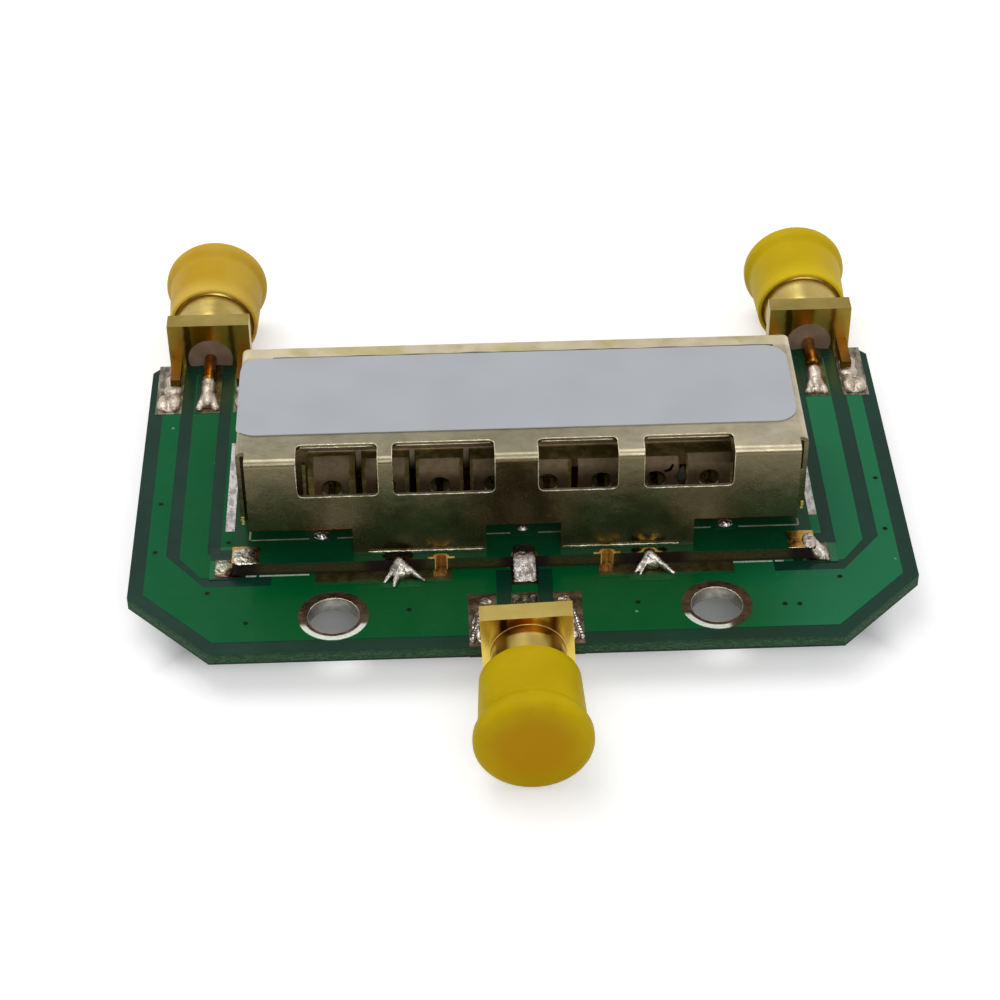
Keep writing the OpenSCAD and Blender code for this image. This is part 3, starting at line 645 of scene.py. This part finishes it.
def rectangle(left, right, front, rear):
    return [(left, front), (right, front), (right, rear), (left, rear)]


def wave(*place):
    """Smooth noise between about -1 and 1."""
    return noise.noise(Vector(place))


def belt(bm, low, high):
    """Faces between two closed rows of vertices."""
    for a, b, c, d in zip(low, low[1:] + low[:1], high[1:] + high[:1], high):
        bm.faces.new((a, b, c, d))


def lathe(name, profile, material, slot, matrix, **more):
    """Surface of revolution about its own z axis. The profile has (radius, height)."""
    bm = bmesh.new()
    verts = [bm.verts.new((r, 0, z)) for r, z in profile]
    edges = [bm.edges.new(pair) for pair in zip(verts, verts[1:])]
    bmesh.ops.spin(bm, geom=verts + edges, cent=(0, 0, 0), axis=(0, 0, 1), angle=2 * math.pi, steps=96,
                   use_merge=True)
    bmesh.ops.remove_doubles(bm, verts=bm.verts, dist=0.002)
    mesh = mesh_of(name, bm)
    mesh.transform(matrix)
    finish_piece(name, mesh, material, slot, **more)


def bar(name, left, right, front, rear, low, high, material, slot, bevel=0.04):
    """Small block with softened edges."""
    bm = bmesh.new()
    size = (right - left, rear - front, high - low)
    middle = ((left + right) / 2, (front + rear) / 2, (low + high) / 2)
    bmesh.ops.create_cube(bm, size=1, matrix=Matrix.Translation(middle) @ Matrix.Diagonal((*size, 1)))
    bmesh.ops.bevel(bm, geom=bm.edges[:], offset=bevel, segments=2, profile=0.5, affect="EDGES")
    finish_piece(name, mesh_of(name, bm), material, slot, smooth=False)


def limb(start, end, thick, thin):
    """Balls along a line, tapering from thick to thin."""
    lines = [spread(a, b, 8) for a, b in zip((*start, thick), (*end, thin))]
    return [(place, (r, r, r)) for *place, r in zip(*lines)]


def lump(name, balls, material, voxel=0.06, smooth=3, rough=0.05, pitch=1.6, seed=1, **more):
    """Solder: one rough skin over balls with centres and radii, kept from sinking into the board."""
    bm = bmesh.new()
    for centre, radii in balls:
        matrix = Matrix.Translation(centre) @ Matrix.Diagonal((*radii, 1))
        bmesh.ops.create_icosphere(bm, subdivisions=3, radius=1, matrix=matrix)
    obj = placed(name, mesh_of(name, bm))
    remesh = obj.modifiers.new("remesh", "REMESH")
    remesh.mode = "VOXEL"
    remesh.voxel_size = voxel
    relax = obj.modifiers.new("relax", "SMOOTH")
    relax.iterations = smooth
    relax.factor = 0.6
    made = evaluated(obj)
    offset = Vector((seed * 7.3, seed * 3.1, seed * 5.7))
    places = []
    for co, normal in [(v.co.copy(), v.normal.copy()) for v in made.vertices]:
        rise = noise.noise(co * pitch + offset) + 0.5 * noise.noise(co * pitch * 2.7 + offset)
        co += normal * rise * rough
        if co.z > (BOARD_TOP + BOARD_BOTTOM) / 2:
            co.z = max(co.z, LAND_TOP - 0.03)
        else:
            co.z = min(co.z, BOARD_BOTTOM - LAND + 0.03)
        places.extend(co)
    made.vertices.foreach_set("co", places)
    made.update()
    finish_piece(name, made, material, "solder", **more)


# Copper under the mask, with the gaps beside the lines left open
MASK_T = 0.025
MARGIN = 1.1


def copper_outline():
    w, d = HALF_W - MARGIN, HALF_D - MARGIN
    cut = 5.15
    right = [(w - cut, -d), (w, cut - d), (w, d - 0.5), (w - 0.5, d)]
    return right + [(-x, y) for x, y in reversed(right)]


def line_gap(side):
    """Opening in the copper round one filter port's line."""
    outer, rear = 25.52 if side < 0 else 25.7, HALF_D - MARGIN - 0.02
    return [(side * x, y) for x, y in [
        (outer, rear), (outer, -6.2), (outer - 2.9, -9.65), (17.88, -9.65), (17.88, -8.66), (19.3, -8.66),
        (19.3, -5.7), (21.65, -5.7), (21.65, rear)]]


def line_trace(side):
    """One filter port's line, from the pin's land to the filter board's corner."""
    elbow = [(22.0, -6.8), (22.57, -5.9)] if side < 0 else [(22.0, -6.82), (22.6, -6.74), (22.57, -5.9)]
    return [(side * x, y) for x, y in [
        (24.55, 15.3), (24.55, -6.5), (22.9, -8.66), (20.0, -8.66), (20.0, -6.8)] + elbow + [(22.57, 15.3)]]


antenna_gap = rectangle(-1.95, 2.05, -HALF_D + MARGIN + 0.02, -8.7)
antenna_trace = rectangle(-0.85, 0.95, -12.0, -9.9)
holes = [circle(side * HOLE_X, HOLE_Y, HOLE_R + 0.62, 48) for side in (-1, 1)]
sheet = [copper_outline(), *holes]
lines = [line_gap(-1), line_gap(1), line_trace(-1), line_trace(1), antenna_gap, antenna_trace]
flat("carrier_copper", sheet + lines, BOARD_TOP, MASK_T, GREEN, "board_green", bevel=0.008)
flat("carrier_copper_below", sheet, BOARD_BOTTOM - MASK_T, MASK_T, GREEN, "board_green", bevel=0.008)

# Plated walls of the two mounting holes
for side, port in ((-1, "left"), (1, "right")):
    lathe(f"{port}_hole_lining", [(HOLE_R - 0.005, -0.045), (HOLE_R - 0.005, 1.045), (HOLE_R - 0.06, 1.045),
                                  (HOLE_R - 0.1, 0.9), (HOLE_R - 0.1, 0.1), (HOLE_R - 0.06, -0.045)],
          HOLE_METAL, "tinned_copper", Matrix.Translation((side * HOLE_X, HOLE_Y, BOARD_BOTTOM)))
# Bright arcs at the holes' rear rims: painted highlight
hole_edges = [arc(side * HOLE_X, HOLE_Y, 15, 155, HOLE_R - 0.05, 28) for side in (-1, 1)]
tube("hole_edges", [[(x, y, LAND_TOP - 0.01) for x, y in edge] for edge in hole_edges], 0.04, EDGE_HIGHLIGHT,
     "tinned_copper")

# White print: a line in front of the filter board, and one on it round the cover
PRINT_T = 0.015
silk_line = [rectangle(left, right, -8.68, -8.53) for left, right in (
    (-19.7, -18.95), (-18.75, -15.2), (15.0, 17.8), (18.0, 18.6))]
flat("silk_carrier", silk_line, BOARD_TOP + MASK_T, PRINT_T, SILK, "label_grey")
silk_frame = [rectangle(left, right, -5.96, -5.84) for left, right in (
    (-19.5, -15.2), (-13.2, -11.4), (-2.5, -0.8), (1.2, 2.8), (12.3, 13.6), (15.6, 19.95))]
silk_frame += [rectangle(-19.52, -19.4, -5.96, -4.9), rectangle(19.86, 19.98, -5.83, -5.19)]
# Print inside the cover, in the darker print tones: painted shade
flat("silk_filter", silk_frame, FILTER_TOP, PRINT_T, SHADED_SILK, "label_grey")

# Plated-through holes under the mask
vias = [(-26.34, -5.74), (-26.28, -0.32), (-22.36, -10.28), (-21.11, -4.88), (-19.51, -13.5), (-8.13, -12.6),
        (7.91, -12.51), (18.17, -13.13), (19.19, -13.18), (22.37, -10.45), (26.34, -5.42), (26.48, 0.33)]
VIA_Z = BOARD_TOP + MASK_T - 0.005
flat("vias", [circle(x, y, 0.19, 16) for x, y in vias], VIA_Z, 0.012, VIA, "board_green")
flat("via_rims", [circle(x, y, r, 18) for x, y in vias for r in (0.3, 0.19)], VIA_Z, 0.014, GREEN,
     "board_green")

# Inside the cover: the filter board's plated ground, and a bright post beside each outer resonator
flat("filter_ground", [rectangle(-19.0, 19.2, -4.9, 5.0)], FILTER_TOP + 0.005, 0.03, FLOOR_COPPER,
     "gold_plate")
for name, left, right in (("left_post", -15.68, -15.4), ("right_post", 15.75, 16.05)):
    bar(name, left, right, -1.9, -1.6, FILTER_TOP + 0.03, 8.0, POST, "tinned_copper")

# Sheared edges of the windows, bright with a painted highlight and a little ragged
WINDOWS = [(left + FILTER_X, right + FILTER_X) for left, right in (
    (-15.8, -10.1), (-9.1, -1.95), (1.05, 6.65), (8.45, 14.75))]
WINDOW_REAR, SILL, CORNER = COVER_FRONT + 1.95, BOARD_TOP + 6.25, 0.45


def window_rim(left, right):
    """Edge of one window: along the sill, up, over the bend and round the cut in the top."""
    inset = 0.03
    middle = spread(left + CORNER, right - CORNER, 24)[1:-1]
    sill = arc(left + CORNER, SILL + CORNER, 180, 270, CORNER)
    sill += [(x, SILL + 0.03 * wave(x * 2.3, left, inset)) for x in middle]
    sill += arc(right - CORNER, SILL + CORNER, 270, 360, CORNER)
    over = arc(COVER_FRONT + BEND, COVER_TOP - BEND, 180, 90, BEND - inset, 6)
    cut = arc(right - CORNER, WINDOW_REAR - CORNER, 0, 90, CORNER)
    cut += arc(left + CORNER, WINDOW_REAR - CORNER, 90, 180, CORNER)
    return ([(x, COVER_FRONT + inset, z) for x, z in sill] + [(right, y, z) for y, z in over]
            + [(x, y, COVER_TOP - inset) for x, y in cut] + [(left, y, z) for y, z in reversed(over)])


tube("window_rims", [window_rim(*window) for window in WINDOWS], 0.036, EDGE_HIGHLIGHT, "cover_metal",
     closed=True, ragged=0.9)
tube("window_inner_edges", [[(x, WINDOW_REAR - 0.01, COVER_TOP - SHEET + 0.03)
                             for x in spread(left + 0.3, right - 0.3, 12)] for left, right in WINDOWS],
     0.045, EDGE_HIGHLIGHT, "cover_metal", ragged=0.8)

# Closed lower part of the fold at the right end, and the bright tips of the end walls, a painted highlight
bar("right_seam", 19.4, 19.84, -6.6, -6.32, WALL_FOOT + 0.02, 10.1, COVER, "cover_metal")
for side, name in ((-1, "left"), (1, "right")):
    tip_x = FILTER_X + side * 19.86
    bar(f"{name}_end_tip", tip_x - 0.12, tip_x + 0.12, -6.36, -6.22, 6.3, 7.0, GOLD_EDGE_HIGHLIGHT, "cover_metal",
        bevel=0.03)

# Solder fillet along the foot of each front skirt, and the bright edge of the right corner's land, a painted
# highlight
fillets = [[(x, COVER_FRONT - 0.06 + 0.03 * wave(i * 0.37, left, 0),
             FILTER_LAND + 0.05 + 0.03 * wave(i * 0.61, left, 4))
            for i, x in enumerate(spread(left, right, 40))]
           for left, right in ((-10.95, -2.72), (2.89, 11.12))]
tube("skirt_fillets", fillets, 0.08, SKIRT_FILLET, "solder", ragged=0.7)
land_edge = [(x, FILTER_FRONT + 0.01, FILTER_LAND + 0.01) for x in (18.95, 19.2, 19.5, 19.8, 20.1)]
tube("land_edges", [land_edge], 0.035, GOLD_EDGE_HIGHLIGHT, "gold_plate")

# Bright lower lips of the resonators' holes, plated, with a painted highlight
lips = [arc(resonator_x(i), RESONATOR_AXIS_Z, 205, 335, 0.76, 13) for i in (1, 3, 4, 5, 6, 7, 8)]
tube("hole_lips", [[(x, RESONATOR_FRONT - 0.02, z) for x, z in lip] for lip in lips], 0.06, LIP_HIGHLIGHT,
     "resonator_ceramic", ragged=0.6)


def web(name, gap_x, back):
    """Plated web in the gap between two resonators, on the slope and the top behind their open ends."""
    bm = bmesh.new()
    upper = [(RESONATOR_FRONT, RESONATOR_TOP - back * 0.4), (RESONATOR_FRONT + back, RESONATOR_TOP),
             (-0.35, RESONATOR_TOP)]
    ring = upper + [(y, z - 0.12) for y, z in reversed(upper)]
    left, right = ([bm.verts.new((x, y, z)) for y, z in ring] for x in (gap_x - 0.24, gap_x + 0.24))
    belt(bm, left, right)
    bm.faces.new(left[::-1])
    bm.faces.new(right)
    finish_piece(name, mesh_of(name, bm), WEB, "resonator_ceramic", smooth=False)


web("middle_web", resonator_x(5.5), 0.5)
web("right_web", resonator_x(7.5), 0.65)

# Drop of wax: its outline and the thin lens inside it, then a chipped mark beside it
tear = [(11.82, 7.35), (11.55, 6.9), (11.33, 6.3), (11.45, 5.85), (11.77, 5.72), (12.05, 5.95), (12.1, 6.4),
        (11.97, 6.9)]
tube("wax_drop", [[(x, RESONATOR_FRONT - 0.02, z) for x, z in tear]], 0.038, WAX, "resonator_ceramic",
     closed=True)


def drop_body(name, outline, front, swell):
    """Thin lens inside an upright outline, on the resonators' faces."""
    bm = bmesh.new()
    mid_x, mid_z = (sum(values) / len(outline) for values in zip(*outline))
    edge = [bm.verts.new((x, front, z)) for x, z in outline]
    shoulder = [bm.verts.new((mid_x + (x - mid_x) * 0.6, front - swell * 0.8, mid_z + (z - mid_z) * 0.6))
                for x, z in outline]
    top, back = (bm.verts.new((mid_x, y, mid_z)) for y in (front - swell, front + 0.01))
    belt(bm, edge, shoulder)
    for row, point in ((shoulder, top), (edge, back)):
        for a, b in zip(row, row[1:] + row[:1]):
            bm.faces.new((a, b, point))
    finish_piece(name, mesh_of(name, bm), DROP, "resonator_ceramic")


drop_body("wax_body", tear, RESONATOR_FRONT - 0.012, 0.07)
tube("chipped_mark", [[(x, RESONATOR_FRONT - 0.015, z) for x, z in (
    (10.5, 6.9), (10.75, 6.95), (10.95, 7.1), (11.1, 7.5))]], 0.15, FLUX, "resonator_ceramic")

# Label: one sheet with round corners that runs over the left bend
LABEL_T, LABEL_LEFT, LABEL_RIGHT, LABEL_FRONT, LABEL_REAR, LABEL_R = 0.09, 0.75, 19.6, -4.5, 4.4, 1.6


def label_sheet():
    bend_x = FILTER_X - COVER_HALF_W + BEND
    left = bend_x - LABEL_LEFT
    us = [x for x, _ in arc(left + LABEL_R, 0, 180, 90, LABEL_R, 10)]
    us += spread(left + LABEL_R, LABEL_RIGHT - LABEL_R, 40)[1:-1]
    us += [x for x, _ in arc(LABEL_RIGHT - LABEL_R, 0, 90, 0, LABEL_R, 10)]

    def place(u, v, height):
        if u >= bend_x:
            return (u, v, COVER_TOP + height)
        angle = min((bend_x - u) / (BEND + 0.04), math.radians(88))
        reach = BEND + height
        return (bend_x - reach * math.sin(angle), v, COVER_TOP - BEND + reach * math.cos(angle))

    bm = bmesh.new()
    rims = []
    for height, flip in ((LABEL_T, False), (0.004, True)):
        grid = []
        for u in us:
            near = min(u - left, LABEL_RIGHT - u, LABEL_R)
            cut = LABEL_R - math.sqrt(max(0, LABEL_R ** 2 - (LABEL_R - near) ** 2))
            vs = spread(LABEL_FRONT + cut, LABEL_REAR - cut, 10)
            grid.append([bm.verts.new(place(u, v, height)) for v in vs])
        for a, b in zip(grid, grid[1:]):
            for quad in zip(a, b, b[1:], a[1:]):
                bm.faces.new(quad[::-1] if flip else quad)
        rims.append([c[0] for c in grid] + grid[-1][1:] + [c[-1] for c in grid[-2::-1]] + grid[0][-2:0:-1])
    belt(bm, rims[1], rims[0])
    sheet = finish_piece("label_sheet", mesh_of("label_sheet", bm), LABEL, "label_grey",
                         replaces=("cover_label",))
    sheet.data.set_sharp_from_angle(angle=math.radians(50))


label_sheet()

# Dark line along the label's rear edge: a painted shadow
shadow_line = [(x, LABEL_REAR + 0.02) for x in spread(-17.6, 18.8, 60)]
shadow_line += [(x, y + 0.16 + 0.12 * wave(x * 0.5, 3, 1)) for x, y in reversed(shadow_line)]
flat("glue_line", [shadow_line], COVER_TOP, 0.03, LABEL_EDGE_SHADOW, "label_grey")

# Solder joints on the filter board and in front of it
slope = []
for along in spread(0, 1, 13):
    z = 4.47 - 1.0 * max(0, (along - 0.35) / 0.65)
    slope.append(((0.1, -7.55 - 2.3 * along, z), (0.86, 0.3, 0.1 + 0.14 * math.sin(math.pi * along))))
slope += [((-0.42, -9.95, 3.47), (0.36, 0.24, 0.1)), ((0.6, -9.95, 3.48), (0.36, 0.26, 0.12))]
lump("left_joint", limb((-8.85, -8.6, 4.3), (-9.85, -9.75, 3.45), 0.38, 0.13)
     + limb((-8.75, -8.6, 4.3), (-7.05, -9.65, 3.46), 0.38, 0.16)
     + limb((-8.8, -8.7, 4.2), (-9.15, -10.2, 3.44), 0.4, 0.12)
     + [((-8.7, -9.0, 3.75), (0.85, 0.55, 0.5)), ((-8.8, -8.45, 4.35), (0.42, 0.3, 0.26))],
     FRONT_SOLDER, rough=0.06, pitch=2.0, seed=2, smooth=6, replaces=("filter_solder",))
lump("right_joint", limb((9.0, -8.55, 4.35), (7.98, -9.4, 3.45), 0.34, 0.13)
     + limb((9.0, -8.6, 4.3), (8.3, -9.65, 3.45), 0.3, 0.12)
     + limb((9.05, -8.6, 4.33), (10.65, -9.6, 3.46), 0.36, 0.18)
     + [((9.15, -8.85, 3.8), (0.75, 0.45, 0.5)), ((9.0, -8.45, 4.38), (0.4, 0.28, 0.22))],
     FRONT_SOLDER, pitch=2.4, seed=5)
lump("middle_joint", slope, MIDDLE_SOLDER, pitch=3.6, seed=9, smooth=5)
lump("left_corner_film",
     [((-19.7, -7.6, 4.455), (0.96, 0.98, 0.06)), ((-20.1, -7.8, 4.455), (0.48, 0.82, 0.08)),
      ((-19.3, -7.7, 4.455), (0.5, 0.86, 0.06)), ((-20.35, -7.7, 4.46), (0.27, 0.6, 0.09))]
     + [((x, y, 4.455), (0.36, 0.36, 0.06)) for x in (-20.25, -19.15) for y in (-8.05, -7.1)]
     + limb((-20.3, -8.42, 4.45), (-18.95, -8.42, 4.45), 0.09, 0.06),
     CORNER_FILM, rough=0.03, pitch=2.4, seed=12, voxel=0.04)
lump("left_corner_foot",
     [((-21.3, -7.75, 3.44), (0.66, 0.98, 0.09)), ((-21.62, -7.75, 3.44), (0.34, 0.95, 0.1)),
      ((-21.3, -8.35, 3.44), (0.66, 0.36, 0.1)), ((-20.95, -8.3, 3.56), (0.28, 0.3, 0.26)),
      ((-20.72, -8.3, 3.85), (0.16, 0.24, 0.42))]
     + limb((-20.95, -8.3, 3.72), (-20.45, -8.2, 4.42), 0.2, 0.15),
     CORNER_FOOT, rough=0.07, pitch=3.0, seed=13)
lump("right_corner_joint",
     [((20.4, -7.72, 4.46), (0.46, 0.86, 0.09)), ((21.2, -7.75, 3.44), (0.7, 0.98, 0.12)),
      ((20.9, -8.1, 3.7), (0.3, 0.6, 0.4)), ((21.3, -8.2, 3.5), (0.62, 0.56, 0.22)),
      ((20.7, -7.85, 4.4), (0.2, 0.6, 0.13))]
     + limb((20.55, -7.1, 4.4), (21.25, -8.0, 3.85), 0.22, 0.3)
     + limb((21.25, -8.0, 3.8), (21.78, -8.7, 3.48), 0.28, 0.12)
     + limb((20.5, -8.3, 4.42), (21.0, -8.4, 3.7), 0.14, 0.3),
     RIGHT_SOLDER, rough=0.06, pitch=2.6, seed=15)
for name, x, y, peak, foot, material, seed in (
        ("left", -14.3, -5.65, (0.36, 0.34, 0.28), (0.62, 0.5, 0.12), SOLDER, 20),
        ("middle", 0.1, -5.4, (0.36, 0.34, 0.24), (0.52, 0.45, 0.1), DULL_SOLDER, 21),
        ("right", 14.65, -5.6, (0.38, 0.34, 0.28), (0.6, 0.46, 0.12), SOLDER, 22)):
    lump(f"{name}_drop", [((x, y, 4.5), peak), ((x, y + 0.05, 4.46), foot)], material, rough=0.04, seed=seed)


def blot(cx, cy, rx, ry, seed):
    """Ragged round outline."""
    return [(cx + rx * x * k, cy + ry * y * k) for x, y, k in (
        (x, y, 1 + 0.35 * wave(3 * x, 3 * y, seed)) for x, y in circle(0, 0, 1, 28))]


for name, z, blots in (
        ("flux_left", FILTER_LAND, ((-8.85, -8.02, 1.1, 0.4, 3),)),
        ("flux_corners", LAND_TOP, ((-21.0, -7.12, 0.34, 0.14, 5), (19.9, -7.6, 0.1, 0.6, 6),
                                    (-26.3, 13.25, 0.42, 0.3, 8), (26.1, 14.2, 0.3, 0.3, 11))),
        ("flux_right", FILTER_LAND, ((8.05, -8.2, 0.36, 0.22, 7), (9.95, -8.2, 0.34, 0.2, 9)))):
    flat(name, [blot(*values) for values in blots], z, 0.02, FLUX, "solder")


def port_joints(port, material, mounds, pin, rough, seed, notch=0.8):
    """Solder on one port's pin and legs, above and below the board. The pin's solder runs between two
    distances back from the board's edge and has a notch in the middle of its foot. A mound is (x, distance
    back, radius along x, radius along y, height)."""
    (px, py), turn = PORTS[port]
    facing = -1 if turn else 1

    def at(x, back, z):
        return (px + facing * x, py + facing * back, z)

    near, far = pin
    balls = limb(at(0, near, LAND_TOP + 0.5), at(0, far - 0.8, LAND_TOP + 0.2), 0.55, 0.5)
    balls += limb(at(0, near + 0.6, LAND_TOP + 0.2), at(0, far - notch, LAND_TOP + 0.04), 0.5, 0.35)
    for side in (-1, 1):
        start, end = at(side * 0.1, near + 0.6, LAND_TOP + 0.3), at(side * 0.62, far - 0.25, LAND_TOP + 0.04)
        balls += limb(start, end, 0.4, 0.3)
        for level, up in ((LAND_TOP, 1), (BOARD_BOTTOM - LAND, -1)):
            for x, back, rx, ry, h in mounds:
                balls.append((at(side * x, back, level + up * h * 0.3), (rx, ry, h)))
    lump(f"{port}_joints", balls, material, voxel=0.07, rough=rough, pitch=2.2, seed=seed,
         replaces=(f"{port}_solder",))


REAR_MOUNDS = [(2.75, 2.3, 0.7, 0.9, 0.45), (2.75, 3.4, 0.75, 0.7, 0.4), (3.4, 4.9, 0.5, 0.95, 0.36),
               (2.55, 4.8, 0.52, 1.05, 0.42), (3.0, 5.2, 0.95, 0.7, 0.16)]
port_joints("left", REAR_SOLDER, REAR_MOUNDS, (3.1, 5.85), 0.05, 43)
port_joints("right", REAR_SOLDER, REAR_MOUNDS, (3.7, 5.85), 0.05, 47, notch=0.35)
ANTENNA_MOUNDS = [(2.9, 2.0, 0.92, 1.9, 0.08), (2.75, 4.5, 0.5, 0.45, 0.1), (3.3, 1.7, 0.28, 1.2, 0.2),
                  (2.5, 3.3, 0.3, 0.5, 0.26)]
port_joints("antenna", DULL_SOLDER, ANTENNA_MOUNDS, (2.2, 4.9), 0.06, 41)
lump("antenna_streaks", limb((-3.25, -13.9, 3.5), (-3.78, -15.95, 3.44), 0.17, 0.26)
     + limb((3.4, -13.6, 3.5), (3.8, -15.95, 3.44), 0.17, 0.26), SOLDER, rough=0.06, pitch=3, seed=52)

# Dust caps, with the soft shoulders of moulded plastic
CAP_MOUTH, CAP_BORE, CAP_BORE_END = 4.35, 3.2, 9.25


def cap_profile():
    outer = [(3.3, CAP_MOUTH), (3.42, CAP_MOUTH + 0.02)]
    outer += zip(spread(3.48, 3.68, 8), spread(CAP_MOUTH + 0.1, 8.7, 8))
    outer += [(3.68 + 0.045 * t + 0.305 * t * t * (3 - 2 * t), 8.7 + 0.85 * t) for t in spread(0, 1, 14)[1:]]
    outer += [(4.04, 9.7), (4.04, 9.92)] + arc(3.26, 9.92, 9, 90, 0.78, 9)
    outer += [(3.0, 10.7), (2.75, 10.685), (1.4, 10.67), (0.0, 10.665)]
    inner = [(0.0, CAP_BORE_END), (2.9, CAP_BORE_END), (CAP_BORE, CAP_BORE_END - 0.25),
             (CAP_BORE, CAP_MOUTH + 0.1), (3.24, CAP_MOUTH), (3.3, CAP_MOUTH)]
    return outer + inner


def turned(degrees, axis):
    """Rotation about one axis."""
    return Matrix.Rotation(math.radians(degrees), 4, axis)


neck_ring = arc(2.6, FLANGE_T + 0.01, 0, 360, 0.055, 8)
neck_sleeve = [(2.6, FLANGE_T), (2.74, 1.9), (2.82, 2.5), (2.88, 3.1), (2.95, 3.7), (3.05, 4.3),
               (3.04, 4.36), (2.9, 4.38), (2.58, 4.38)]
for port, (place, turn) in PORTS.items():
    # A port's own frame: z out from the board's edge, y up, x across
    matrix = Matrix.Translation((*place, AXIS_Z)) @ turned(turn, "Z") @ turned(90, "X")
    if turn:
        lathe(f"{port}_neck", neck_sleeve, NECK, "gold_plate", matrix)
    else:
        lathe(f"{port}_neck_ring", neck_ring, NECK, "gold_plate", matrix)
    lathe(f"{port}_dust_cap", cap_profile(), CAPS[port], "cap_yellow", matrix, body=f"{port}_cap_body",
          replaces=(f"{port}_cap",))

# Camera, from the photograph
camera_data = bpy.data.cameras.new("camera")
camera_data.sensor_width = 36
camera_data.lens = 91.320
camera_data.clip_start = 0.01
camera_data.clip_end = 20
camera = placed("camera", camera_data)
eye = Vector((-4.877, -143.738, 123.187)) * MM
pitch, yaw, roll = 39.9893, -1.4012, -0.7649
camera.matrix_world = Matrix.Translation(eye) @ turned(yaw, "Z") @ turned(90 - pitch, "X") @ turned(roll, "Z")
bpy.context.scene.camera = camera


def make_floor():
    """Pale floor, white in the light near and far, which keeps the object's shadow and is dimmed beneath it
    by a painted shadow.
    """
    bm = bmesh.new()
    bmesh.ops.create_grid(bm, x_segments=4, y_segments=4, size=3)
    obj = placed("floor", mesh_of("floor", bm, outward=False))
    material = bpy.data.materials.new("floor_paper")
    obj.data.materials.append(material)
    g = Graph(material)
    x, y, _ = g.xyz(g.get("ShaderNodeTexCoord", {}, "Object"))
    edges = [g.step(abs(v), (half - 5) * MM, (half - 1) * MM) for v, half in ((x, HALF_W), (y, HALF_D))]
    # Painted shadow: the floor's glow is dimmed beneath the board
    shadow_dimming = (edges[0] | edges[1]) * 0.8 + 0.2
    far = g.step(g.distance(x, y), 0.3, 1.2, 0.45, 1.0)
    paper = g.get("ShaderNodeBsdfDiffuse", {"Color": (0.75, 0.75, 0.75, 1)})
    glow = g.get("ShaderNodeEmission", {"Strength": g.seen() * far * shadow_dimming})
    g.node("ShaderNodeOutputMaterial", {0: g.get("ShaderNodeAddShader", {0: paper, 1: glow})})


def make_world():
    """White to the camera. Light and gloss come from a pale room, darker in front and straight behind."""
    world = bpy.data.worlds.new("room")
    bpy.context.scene.world = world
    g = Graph(world)
    x, y, z = g.xyz(g.get("ShaderNodeTexCoord", {}, "Generated"))
    rear = g.step(abs(x) - y * 0.1, -0.02, 0.35, 0.55, 1.0)
    front = g.step(y, -0.35, 0.1, 0.4, 1.0)
    room = (front | g.step(z, 0.55, 0.9)) * rear
    strength = g.blend(g.seen(), room * 0.75, room | g.ray("Camera"))
    g.node("ShaderNodeOutputWorld", {0: g.get("ShaderNodeBackground", {"Strength": strength})})


def area_lamp(name, place, size, power):
    """Square lamp that points at the origin."""
    data = bpy.data.lights.new(name, "AREA")
    data.shape = "SQUARE"
    data.size = size
    data.energy = power
    obj = placed(name, data)
    obj.location = place
    obj.rotation_mode = "QUATERNION"
    obj.rotation_quaternion = (-Vector(place)).to_track_quat("-Z", "Y")


make_floor()
make_world()
area_lamp("overhead_lamp", (-0.15, 0.2, 0.7), 0.5, 1.9)
area_lamp("front_lamp", (0.1, -0.65, 0.5), 0.4, 1.6)
bpy.context.scene.view_settings.view_transform = "Standard"

bpy.context.view_layer.update()
